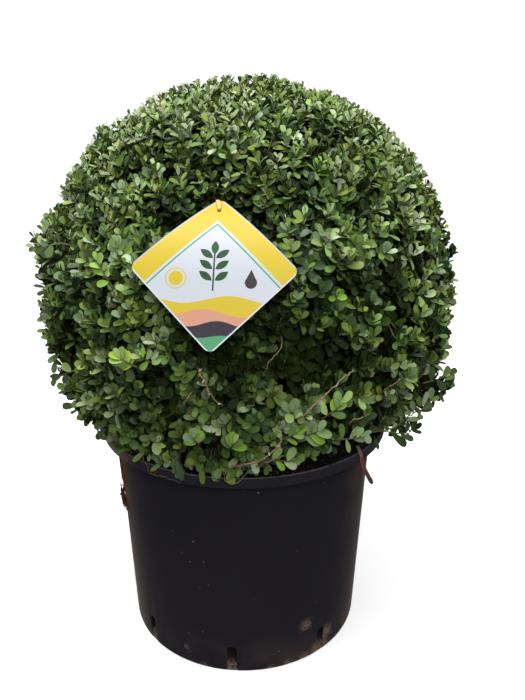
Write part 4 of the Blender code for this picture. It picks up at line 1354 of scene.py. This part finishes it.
rim_azimuth, rim_radius, rim_height = np.array(RIM_TWIG).T
rim_stops = aim(rim_azimuth) * rim_radius[:, None] + rim_height[:, None] * UP
showing = [crooked_twig(crown_points(stops), radius, SHOWING_SEED + 5 * turn)
           for turn, (stops, radius) in enumerate(SHOWING_TWIGS)]
showing.append(crooked_twig(rim_stops, RIM_TWIG_RADIUS, RIM_TWIG_SEED))
stub_ends = crown_points(PALE_STUBS)
stub_ways = unit(unit(stub_ends - CROWN_CENTRE) + grow.normal(0, 0.5, stub_ends.shape))

base, heading, face, long, wide, fold, curl, cut, tone, hangs = (
    np.concatenate(column) for column in zip(*groups))
tip, middle = base + heading * long[:, None], base + heading * (long * 0.5)[:, None]
bare = np.concatenate([path for path, _ in showing[:CLEARED_TWIGS]] + [stub_ends])
clear = np.zeros(len(middle), bool)
near = np.nonzero((middle[:, 1] < CLEARED_FRONT) & (middle[:, 2] < bare[:, 2].max() + 0.01))[0]
gap = np.stack([np.linalg.norm(middle[near] - point, axis=1) for point in bare]).min(0)
clear[near] = (gap < TWIG_CLEARING) & (grow.random(len(near)) < CLEARED_SHARE)
past_card = np.maximum(over_label(tip, **LEAVES_CLEAR), over_label(middle, **LEAVES_CLEAR))
keep = (past_card < 0) & ~clear & (cut > SHORTEST_CUT)
keep &= clear_of_pot(tip) & clear_of_pot(base) & clear_of_pot(middle)
below_rim = (np.hypot(tip[:, 0], tip[:, 1]) > POT_RIM.x) & (tip[:, 2] < POT_RIM.z - 0.004)
keep &= (~below_rim & above_hem(tip, 0.006)) | hangs
base, heading, face, long, wide, fold, curl, cut, tone = (
    column[keep] for column in (base, heading, face, long, wide, fold, curl, cut, tone))
shape = leaf_points(base, heading, face, long, wide, fold, curl, cut)
wood_piece("shoots", green_wood, bark_finish("young_bark", SHOOT_DARK, SHOOT_LIGHT, 900.0))
showing_bark = bark_finish("pale_bark", PALE_DARK, PALE_LIGHT, 900.0)
wood_piece("showing_twigs", [made for _, made in showing], showing_bark)


def leaf_finish(name, colour):
    """A leathery leaf of one green, with a waxy gloss; the deepest ones are dusty and duller."""
    gloss = DEEP_GLOSS if name == "deep" else LEAF_GLOSS
    sockets = {"Base Color": (*colour, 1), "Roughness": LEAF_ROUGHNESS, "Specular IOR Level": gloss}
    return Finish("leaf_" + name, sockets).material


for number, (name, colour) in enumerate(TONES.items()):
    chosen = shape[tone == number]
    parts = np.array_split(chosen, math.ceil(len(chosen) / PIECE_LEAVES))
    finish = leaf_finish(name, colour)
    for turn, part in enumerate(parts, 1):
        piece_name = f"leaves_{name}_{turn}" if len(parts) > 1 else f"leaves_{name}"
        piece = new_piece(piece_name, part.reshape(-1, 3), leaf_faces(len(part)), finish)
        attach(piece, "root")
        if name == "mid":
            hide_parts("clipped_ball", SKIRT, *SPRAY_NAMES)

# ------------------------------------------------------------------------------------------
# Clipped ends: where the shears have passed, a leaf's edge dries to a tan line and a shoot
# leaves a short stub with a pale end. A few thicker ones are left on the twigs that show.

STUBS_ABOVE = 25
STUB_SHARE = 0.26
CLIPPED_SIDE_SHARE = 0.45
STUB_LENGTHS = (0.002, 0.005)
SHORTEST_STUB = 0.0015
STUB_PAST = 0.004
STUB_RADII = (0.0006, 0.0006, 0.0007)
PALE_STUB_SPAN = (-0.0035, 0.0014)
PALE_STUB_RADII = (0.0007, 0.0009, 0.0010, 0.0008)
CUT_TAN = (0.50, 0.42, 0.25, 1)
CUT_BROWN = (0.24, 0.16, 0.08, 1)


def cut_strips():
    """A strip of two quads across each cut leaf, from where the leaf stops to its cut."""
    chosen = (cut < 1) & (base[:, 2] > CUT_LOWEST)
    side = np.cross(heading, face)[chosen]
    strips = []
    for share in (CUT_EDGE, 1.0):
        station = cut[chosen] * share
        half = leaf_width(station) * wide[chosen]
        along = (station * long[chosen])[:, None] * heading[chosen]
        sink = curl[chosen] * station**2 * long[chosen]
        middle = base[chosen] + along - sink[:, None] * face[chosen]
        rise = (fold[chosen] * half)[:, None] * face[chosen]
        strips += [middle - half[:, None] * side + rise, middle, middle + half[:, None] * side + rise]
    points = np.stack(strips, 1)
    quads = np.array([(0, 1, 4, 3), (1, 2, 5, 4)])
    return points.reshape(-1, 3), [(6 * np.arange(len(points))[:, None, None] + quads).reshape(-1, 4)]


def clipped_finish(name):
    """Dried tan tissue with browner spots."""
    made = Finish(name, {"Roughness": 0.8, "Specular IOR Level": 0.3})
    made.feed(Base_Color=made.blend(made.noise(260.0, 3.0).ease(0.38, 0.66), CUT_TAN, CUT_BROWN))
    return made.material


edges = new_piece("clipped_leaf_edges", *cut_strips(), clipped_finish("dried_leaf_edge"))
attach(edges, "root")

stub_chance = STUB_SHARE + CLIPPED_SIDE_SHARE * masks["hard_clipped"]
stubbed = np.nonzero((elevation > STUBS_ABOVE) & (grow.random(len(ends)) < stub_chance))[0]
stub_way = unit(headings[stubbed] + grow.normal(0, 0.3, (len(stubbed), 3)))
stub_length = grow.uniform(*STUB_LENGTHS, len(stubbed))
from_centre = ends[stubbed] - CROWN_CENTRE
limit = reach(unit(from_centre)) + STUB_PAST - np.linalg.norm(from_centre, axis=1)
stub_length = np.clip(np.minimum(stub_length, limit), SHORTEST_STUB, None)
share = np.linspace(-0.5, 1, 3)[None, :, None]
stub_path = ends[stubbed][:, None] + share * (stub_way * stub_length[:, None])[:, None]
stub_headings = np.broadcast_to(stub_way[:, None], stub_path.shape)
stubs = tubes(stub_path, stub_headings, np.broadcast_to(STUB_RADII, (len(stubbed), 3)), 4)
pale_path = stub_ends[:, None] + np.linspace(*PALE_STUB_SPAN, 4)[None, :, None] * stub_ways[:, None]
pale_headings = np.broadcast_to(stub_ways[:, None], pale_path.shape)
pale = tubes(pale_path, pale_headings, np.broadcast_to(PALE_STUB_RADII, (len(stub_ends), 4)), 6)
wood_piece("clipped_stubs", [stubs, pale], clipped_finish("cut_wood"))

# ------------------------------------------------------------------------------------------
# Label: a square plastic card hung by its top corner from a golden plastic strap, which passes
# through its hole, and curled back towards the crown. Its front has a plain generic plant
# design, laid out in shares of the card's side, and its back is blank.

LABEL_THICKNESS = 0.0006
LABEL_LINES = (6, 56, 9)
HOLE_RADIUS = 0.0021
HOLE_DROP = 0.0140
HOLE_CELL = 0.0016
BACK_SHIFT = 4.0
CARD_WHITE = (0.395, 0.418, 0.452, 1)
PRINT_YELLOW = (0.430, 0.325, 0.026, 1)
PRINT_PEACH = (0.430, 0.215, 0.145, 1)
PRINT_SLATE = (0.030, 0.023, 0.032, 1)
PRINT_GREEN = (0.018, 0.055, 0.020, 1)
PRINT_MINT = (0.060, 0.230, 0.110, 1)
PRINT_EDGE = 0.014
BAND_INNER = 0.315
BAND_LINE = (0.280, 0.284, 0.293, 0.297)
SPRIG_PAIRS = (-0.105, -0.010, 0.085)
TOP_MARK = {"middle": (0.0, 0.185), "half_length": 0.062, "half_width": 0.031, "turn": 90}
SIDE_MARK = {"half_length": 0.066, "half_width": 0.030, "turn": 35}
SUN = (-0.31, -0.085, 0)
DROP = (0.31, -0.105, 0)
HILLS = [(-0.255, 0.034, 8.0, 0.4, PRINT_YELLOW), (-0.365, 0.030, 10.0, 2.2, PRINT_PEACH),
         (-0.455, 0.026, 13.0, 0.9, PRINT_SLATE), (-0.560, 0.012, 16.0, 0.0, PRINT_MINT)]
TIE_GOLD = (0.480, 0.330, 0.035, 1)
TIE_PALE = (0.560, 0.400, 0.250, 1)
TIE_PALE_END = 2
TIE_PALE_REACH = (0.0034, 0.0018)
TIE_STOPS = [(-0.0035, 0.0765, -0.0150), (-0.0036, 0.0798, -0.0070), (-0.0032, 0.0812, -0.0004),
             (-0.0022, 0.0778, 0.0014), (-0.0010, 0.0728, 0.0013), (-0.0002, 0.0682, 0.0009),
             (0.0000, 0.0668, -0.0024), (-0.0010, 0.0672, -0.0110)]
TIE_WIDTHS = (0.0012, 0.0014, 0.0018, 0.0026, 0.0027, 0.0021, 0.0013, 0.0013)
TIE_THICKNESS = 0.0004


def squared_off(points, reach_in, radius, reach_out):
    """Turns the square ring at distance reach_in round the origin into a circle of a radius, and
    leaves points beyond reach_out alone: p x (greater coordinate / length) x radius / reach_in."""
    greater = np.abs(points).max(-1, keepdims=True)
    length = np.maximum(np.linalg.norm(points, axis=-1, keepdims=True), 1e-12)
    round_one = points * greater / length * radius / reach_in
    share = np.clip((reach_out - greater) / (reach_out - reach_in), 0, 1)
    return points * (1 - share) + round_one * share


def on_card(across, rise, off):
    """Points of the curled card at distances across and up it, and off its middle along its normal."""
    along, setback, turn = card_curl(rise)
    normal = np.cos(turn)[..., None] * LABEL_NORMAL + np.sin(turn)[..., None] * LABEL_UP
    flat = LABEL_CENTRE + across[..., None] * LABEL_ACROSS + along[..., None] * LABEL_UP
    return flat - setback[..., None] * LABEL_NORMAL + np.asarray(off)[..., None] * normal


def edge_loop(index):
    """The outer points of an index grid in order round it."""
    return np.concatenate([index[0, :-1], index[:-1, -1], index[-1, :0:-1], index[:0:-1, 0]])


def label_mesh():
    """The card as a grid square to its sides, (a, b) = (rise + across, rise - across) / sqrt 2.
    Its corner squares are turned into arcs, a cell round the hole into a circle, and the sheet
    is laid on the curl, front and back half its thickness from the middle. Its place on the
    print is (across, rise) in shares of its side, moved off the design at the back."""
    half = LABEL_SIDE / 2
    hole = (half * math.sqrt(2) - LABEL_CORNER * (math.sqrt(2) - 1) - HOLE_DROP) / math.sqrt(2)
    lines = np.concatenate([np.linspace(-half, -half + LABEL_CORNER, LABEL_LINES[0] + 1)[:-1],
                            np.linspace(-half + LABEL_CORNER, hole - HOLE_CELL, LABEL_LINES[1]), [hole],
                            np.linspace(hole + HOLE_CELL, half, LABEL_LINES[2])])
    a, b = np.meshgrid(lines, lines, indexing="ij")
    flat = np.stack([a, b], -1)
    flat = squared_off(flat - hole, HOLE_CELL, HOLE_RADIUS, 4 * HOLE_CELL) + hole
    inner = half - LABEL_CORNER
    past = np.maximum(np.abs(flat) - inner, 0)
    both = (past > 1e-9).all(-1)
    greater, length = past.max(-1), np.maximum(np.linalg.norm(past, axis=-1), 1e-12)
    past = np.where(both[..., None], past * (greater / length)[..., None], past)
    flat = np.sign(flat) * (np.minimum(np.abs(flat), inner) + past)
    rise, across = flat.sum(-1) / math.sqrt(2), (flat[..., 0] - flat[..., 1]) / math.sqrt(2)
    count = len(lines)
    sheet = np.arange(count * count).reshape(count, count)
    quads = grid_faces(sheet)
    at = int(np.argmin(np.abs(lines - hole)))
    open_cell = np.zeros(quads.shape[:2], bool)
    open_cell[at - 1:at + 1, at - 1:at + 1] = True
    quads = quads[~open_cell]
    deep = count * count
    loops = [edge_loop(sheet), edge_loop(sheet[at - 1:at + 2, at - 1:at + 2])]
    strips = [np.stack([loop, np.roll(loop, -1), np.roll(loop, -1) + deep, loop + deep], -1)
              for loop in loops]
    faces = [on_card(across, rise, side * LABEL_THICKNESS / 2).reshape(-1, 3) for side in (1, -1)]
    place = np.stack([across, rise], -1).reshape(-1, 2) / LABEL_SIDE
    place = np.concatenate([place, place + BACK_SHIFT])
    return np.concatenate(faces), [quads, quads[:, ::-1] + deep, *strips], place


def leaf_mark(x, y, middle, half_length, half_width, turn):
    """1 inside a pointed leaf and 0 outside: |across| / half width + (along / half length)^2 < 1."""
    c, s = math.cos(math.radians(turn)), math.sin(math.radians(turn))
    dx, dy = x - middle[0], y - middle[1]
    along, across = (dx * c + dy * s) / half_length, abs(dy * c - dx * s) / half_width
    return (across + along * along).ease(1.06, 0.94)


def printed_finish():
    """Satin card printed with a yellow chevron under its upper edges and a mint line under that,
    a leafy sprig, a ringed sun and a drop, and rolling hills in its lower corner. Its back is
    blank, and its front is a little scuffed."""
    made = Finish("label_card", {"Specular IOR Level": 0.12})
    place = made.node("ShaderNodeUVMap", {"uv_map": "print"}, {})
    x, y, _ = made.axes(place)
    a, b = (x + y) / math.sqrt(2), (y - x) / math.sqrt(2)
    upper, mirrored = a.most(b), abs(x)
    band = upper.ease(BAND_INNER - 0.003, BAND_INNER + 0.003)
    line = upper.ease(*BAND_LINE[:2]) * upper.ease(*BAND_LINE[:1:-1])
    colour = made.blend(line, made.blend(band, CARD_WHITE, PRINT_YELLOW), PRINT_MINT)
    sprig = mirrored.ease(0.0085, 0.0055) * y.ease(-0.185, -0.180) * y.ease(0.150, 0.140)
    sprig = sprig.most(leaf_mark(x, y, **TOP_MARK))
    for height in SPRIG_PAIRS:
        middle = (SIDE_MARK["half_length"], height + 0.046)
        sprig = sprig.most(leaf_mark(mirrored, y, middle, **SIDE_MARK))
    colour = made.blend(sprig, colour, PRINT_GREEN)
    from_sun = made.apart(place, SUN)
    colour = made.blend(from_sun.ease(0.062, 0.058), colour, PRINT_YELLOW)
    colour = made.blend(from_sun.ease(0.078, 0.081) * from_sun.ease(0.090, 0.087), colour, PRINT_YELLOW)
    cone = (abs(x - DROP[0]) * 2.0 + (y - DROP[1])).ease(0.112, 0.106) * y.ease(-0.085, -0.080)
    drop = made.apart(place, DROP).ease(0.052, 0.048).most(cone)
    colour = made.blend(drop, colour, PRINT_SLATE)
    for height, swing, pace, start, ink in HILLS:
        hill = (x * pace + start).sine() * swing
        colour = made.blend((y - hill).ease(height + 0.003, height - 0.003), colour, ink)
    margin = abs(a).most(abs(b)).ease(0.5 - PRINT_EDGE, 0.5 - PRINT_EDGE + 0.004)
    colour = made.blend(margin, colour, CARD_WHITE)
    scuff = made.noise(420.0, 3.0).ease(0.60, 0.80) * 0.10
    front = y.ease(1.51, 1.49)
    colour = made.blend(front, CARD_WHITE, made.blend(scuff, colour, CARD_WHITE))
    made.feed(Base_Color=colour, Roughness=0.34 + made.noise(60.0, 3.0) * 0.12)
    return made.material


def strap(stops, across, half_widths, half_thickness, steps):
    """A flat strap through stops: rings path + w cos u across + t sin u lift, its half width w
    taken between the stops' own, closed at both ends."""
    path = bent_path(stops, steps)
    ways = unit(np.gradient(path, axis=0))
    side = unit(across - ways * (ways @ across)[:, None])
    lift = np.cross(ways, side)
    turn = math.tau * np.arange(10) / 10
    width = np.interp(np.linspace(0, 1, len(path)), np.linspace(0, 1, len(half_widths)), half_widths)
    ring = (np.cos(turn)[:, None] * side[:, None]) * width[:, None, None]
    ring = ring + half_thickness * np.sin(turn)[:, None] * lift[:, None]
    index = np.arange(ring.size // 3).reshape(ring.shape[:-1])
    faces = [grid_faces(index, closed=True), index[:1, ::-1], index[-1:]]
    return (path[:, None] + ring).reshape(-1, 3), faces


points, faces, place = label_mesh()
label = new_piece("card_label", points, faces, printed_finish())
uv = label.data.uv_layers.new(name="print")
corner = np.empty(len(label.data.loops), np.int32)
label.data.loops.foreach_get("vertex_index", corner)
uv.data.foreach_set("uv", place[corner].astype(np.float32).ravel())
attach(label, "root")
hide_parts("label")

tie_stops = on_card(*np.array(TIE_STOPS).T)
points, faces = strap(tie_stops, LABEL_ACROSS, TIE_WIDTHS, TIE_THICKNESS, 5)
tie_made = Finish("tie_strap", {"Roughness": 0.45, "Specular IOR Level": 0.4})
pale_end = tie_made.distance(tie_stops[TIE_PALE_END]).ease(*TIE_PALE_REACH)
shade = tie_made.noise(380.0, 3.0) * 0.35
tie_made.feed(Base_Color=tie_made.blend(pale_end, tie_made.blend(shade, TIE_GOLD, TIE_PALE), TIE_PALE))
tie = new_piece("tie_strap", points, faces, tie_made.material)
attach(tie, "root")
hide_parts("label_tie")

# ------------------------------------------------------------------------------------------
# Strays: coir that has worked out over the rim and clings to the wall's left side, fine roots
# that loop over the collar, and one dead leaf caught on the rim at the right. A bundle of coir
# is an azimuth and its spread, a lowest and highest start, how far it stands off the wall, a
# count and its lengths; a clump is an azimuth, a height, a size and a count; a root's stops
# are azimuths, heights and distances off the wall.

COIR_BUNDLES = [
    (-78.0, 6.0, 0.238, 0.271, 0.0022, 300, (0.010, 0.022)),
    (-75.0, 3.5, 0.197, 0.217, 0.0058, 170, (0.006, 0.014)),
    (-75.0, 3.5, 0.220, 0.236, 0.0009, 26, (0.008, 0.016)),
]
COIR_THICK = (0.00022, 0.00050)
COIR_CLEAR = 0.0004
COIR_RUST = (0.240, 0.082, 0.028, 1)
COIR_BROWN = (0.070, 0.032, 0.016, 1)
COIR_CLUMP = [(-76.0, 0.2065, 0.0040, 26), (-73.0, 0.2010, 0.0034, 22), (-77.0, 0.1935, 0.0018, 10)]
ROOT_RED = (0.165, 0.062, 0.042, 1)
ROOT_TAN = (0.300, 0.170, 0.100, 1)
ROOT_SEED = 90
ROOTS = [
    ([(-37.6, 0.3375, -0.004), (-37.2, 0.3270, 0.001), (-36.8, 0.3200, 0.001), (-35.5, 0.3146, 0.001),
      (-36.4, 0.3072, 0.000)], 0.00060),
    ([(-36.2, 0.3105, 0.001), (-34.3, 0.3070, 0.001), (-32.5, 0.3111, 0.001), (-30.9, 0.3263, 0.001),
      (-30.5, 0.3375, -0.004)], 0.00052),
    ([(-34.3, 0.3077, 0.001), (-30.8, 0.3082, 0.001), (-26.7, 0.3090, 0.001), (-22.2, 0.3069, 0.001)],
     0.00038),
    ([(-45.0, 0.3385, -0.004), (-43.0, 0.3359, 0.002), (-41.0, 0.3315, 0.001), (-39.0, 0.3284, 0.001)],
     0.00065),
    ([(-46.0, 0.3385, -0.004), (-44.6, 0.3340, 0.001), (-44.0, 0.3260, 0.001), (-45.5, 0.3200, 0.001)],
     0.00050),
]
DEAD_LEAF = np.array([(0.1392, -0.1402, 0.3300), (0.1418, -0.1428, 0.3275), (0.1450, -0.1462, 0.3195),
                      (0.1467, -0.1480, 0.3113), (0.1529, -0.1533, 0.2972), (0.1580, -0.1563, 0.2885),
                      (0.1600, -0.1573, 0.2857)])
DEAD_ACROSS = np.array([0.75, 0.66, 0.1])
DEAD_WIDTHS = (0.0009, 0.0013, 0.0020, 0.0027, 0.0034, 0.0035, 0.0019)
DEAD_THICKNESS = 0.00045
FORK_SHIFT = (0.0016, -0.0002, 0.0010)
FORK_WIDTHS = (0.0005, 0.0007, 0.0008, 0.0008, 0.0004)
FORK_THICKNESS = 0.0004
DEAD_BROWN = (0.150, 0.052, 0.020, 1)
DEAD_TIP = (0.052, 0.030, 0.012, 1)
DEAD_PALE = (0.330, 0.215, 0.150, 1)


def wall_radius(height):
    """The outer radius of the wall or, above its step, of the collar, on its straight taper."""
    wall = FOOT_RADIUS + WALL_TAPER * height
    collar = np.interp(height, (COLLAR_STEP, POT_RIM.z), (COLLAR_FOOT_RADIUS, POT_RIM.x))
    return np.where(height < COLLAR_STEP, wall, collar)


def coir_fibres(turn, spread, low, high, stand, count, lengths):
    """Curled fibres on the wall: each runs down and sideways from its start with two ripples
    added, and no point is nearer the wall than their clearance or farther than it may stand."""
    share = np.linspace(0, 1, 7)[None, :, None]
    azimuth = turn + grow.normal(0, spread, count)
    start = aim(azimuth) * wall_radius(np.full(count, high))[:, None]
    start[:, 2] = grow.uniform(low, high, count)
    way = unit(grow.normal(0, 0.55, (count, 3)) + [0, 0, -0.8])
    path = start[:, None] + share * (way * grow.uniform(*lengths, count)[:, None])[:, None]
    swing = grow.normal(0, 0.0016, (count, 2, 3))
    path = path + np.sin(math.pi * share) * swing[:, :1] + np.sin(2.3 * math.pi * share) * swing[:, 1:]
    path[..., 2] = np.clip(path[..., 2], low - 0.003, COLLAR_STEP - 0.0006)
    flat = np.linalg.norm(path[..., :2], axis=-1)
    off = grow.uniform(COIR_CLEAR, stand, (count, 1)) + grow.uniform(-COIR_CLEAR, COIR_CLEAR, path.shape[:2])
    path[..., :2] *= ((wall_radius(path[..., 2]) + np.clip(off, COIR_CLEAR, stand)) / flat)[..., None]
    ways = unit(np.gradient(path, axis=1))
    return tubes(path, ways, grow.uniform(*COIR_THICK, (count, 1)) * np.ones((1, 7)), 3)


coir_parts = [coir_fibres(*bundle) for bundle in COIR_BUNDLES]
for azimuth, height, size, count in COIR_CLUMP:
    middle = aim(azimuth) * (wall_radius(height) + size * 0.8) + height * UP
    spots = middle + grow.normal(0, 0.45 * size, (count, 3))
    flat = np.linalg.norm(spots[:, :2], axis=1)
    spots[:, :2] *= (np.maximum(flat, wall_radius(spots[:, 2]) + 2 * COIR_CLEAR) / flat)[:, None]
    points, quads = lumps(spots, np.full((count, 3), 0.42 * size), grow.uniform(0, 360, count), grow)
    coir_parts.append((points, [quads]))
coir_made = Finish("coir", {"Roughness": 0.95, "Specular IOR Level": 0.15})
rusty = coir_made.axes(coir_made.place)[2].ease(0.214, 0.232) * 0.75
tangle = coir_made.noise(420.0, 4.0).ease(0.35, 0.65)
coir_made.feed(Base_Color=coir_made.blend((tangle * 0.5 + rusty).least(1.0), COIR_BROWN, COIR_RUST))
coir_made.relief(coir_made.noise(900.0, 4.0), 0.0006, 0.8)
wood_piece("coir_on_wall", coir_parts, coir_made.material)

root_parts = []
for number, (stops, radius) in enumerate(ROOTS):
    azimuth, height, off = np.array(stops).T
    stops = aim(azimuth) * (wall_radius(height) + off + 0.3 * radius)[:, None] + height[:, None] * UP
    root_parts.append(crooked_twig(stops, radius, ROOT_SEED + 5 * number, 5)[1])
wood_piece("roots_over_rim", root_parts, bark_finish("root_skin", ROOT_RED, ROOT_TAN, 700.0))

dead = strap(DEAD_LEAF, DEAD_ACROSS, DEAD_WIDTHS, DEAD_THICKNESS, 4)
fork = strap(DEAD_LEAF[:5] + FORK_SHIFT, DEAD_ACROSS, FORK_WIDTHS, FORK_THICKNESS, 4)
dead_made = Finish("dead_leaf", {"Roughness": 0.7, "Specular IOR Level": 0.3})
height = dead_made.axes(dead_made.place)[2]
mottle = dead_made.noise(500.0, 4.0)
pale_share = height.ease(0.3120, 0.3240) * 0.6 + mottle.ease(0.55, 0.75) * 0.3
dead_colour = dead_made.blend(pale_share, DEAD_BROWN, DEAD_PALE)
dead_colour = dead_made.blend(height.ease(0.3060, 0.2900) * 0.85, dead_colour, DEAD_TIP)
dead_made.feed(Base_Color=dead_colour)
dead_made.relief(mottle, 0.0004, 0.6)
wood_piece("dead_leaf", [dead, fork], dead_made.material)

# ------------------------------------------------------------------------------------------
# Studio: a plain pale floor under soft light from above, and the camera a little above the
# ball at a buyer's eye level.

CAMERA_PLACE = (0.0, -0.92178, 0.73872)
CAMERA_TURN = (-19.74, -1.593, 0.235)
CAMERA_LENS = 36.0
CAMERA_SENSOR = 36.0
FLOOR_SIZE = 14.0
FLOOR_DROP = 0.0002
FLOOR_WHITE = (0.92, 0.92, 0.92, 1)
SKY = (1.0, 1.0, 1.0, 1)
GROUND_GLOW = 0.10
SKY_LEVEL = 0.26
SKY_TOP = 0.90
LIGHTS = {"top_light": ((-0.35, -0.55, 2.5), 0.9, 52.0), "front_light": ((0.30, -2.3, 1.9), 1.0, 34.0)}
FLOOR_GLOW = 0.32


def studio():
    """Floor, sky, lights and camera."""
    scene = bpy.context.scene
    half = FLOOR_SIZE / 2
    corners = np.array([(-half, -half, 0), (half, -half, 0), (half, half, 0), (-half, half, 0)])
    floor_finish = Finish("studio_floor", {"Roughness": 0.9, "Base Color": FLOOR_WHITE,
                                           "Emission Color": SKY, "Emission Strength": FLOOR_GLOW})
    face = [np.array([[0, 1, 2, 3]])]
    floor = new_piece("studio_floor", corners - FLOOR_DROP * UP, face, floor_finish.material)
    floor.visible_diffuse = floor.visible_glossy = False
    scene.world = bpy.data.worlds.new("studio_sky")
    scene.world.use_nodes = True
    sky = Network(scene.world.node_tree)
    way = sky.node("ShaderNodeTexCoord", {}, {}, "Generated")
    height = sky.axes(way)[2]
    seen = sky.node("ShaderNodeLightPath", {}, {}, "Is Camera Ray")
    glow = GROUND_GLOW + (SKY_LEVEL - GROUND_GLOW) * height.ease(-0.25, 0.05)
    glow = glow + (SKY_TOP - SKY_LEVEL) * height.ease(0.0, 0.9)
    strength = glow + seen * (1.0 - glow)
    background = sky.tree.nodes["Background"]
    background.inputs["Color"].default_value = SKY
    sky.tree.links.new(strength.socket, background.inputs["Strength"])
    for name, (place, size, power) in LIGHTS.items():
        light = bpy.data.lights.new(name, "AREA")
        light.size, light.energy = size, power
        holder = bpy.data.objects.new(name, light)
        holder.location = place
        holder.rotation_euler = (Vector(CROWN_CENTRE) - Vector(place)).to_track_quat("-Z", "Y").to_euler()
        scene.collection.objects.link(holder)
    pitch, turn, roll = np.radians(CAMERA_TURN)
    camera = bpy.data.objects.new("camera", bpy.data.cameras.new("camera"))
    aim_matrix = Euler((0, 0, turn)).to_matrix() @ Euler((math.pi / 2 + pitch, 0, 0)).to_matrix()
    aim_matrix = aim_matrix @ Euler((0, 0, roll)).to_matrix()
    camera.matrix_world = aim_matrix.to_4x4()
    camera.location = CAMERA_PLACE
    camera.data.lens = CAMERA_LENS
    camera.data.sensor_width = CAMERA_SENSOR
    scene.collection.objects.link(camera)
    scene.camera = camera
    scene.view_settings.view_transform = "Standard"


studio()
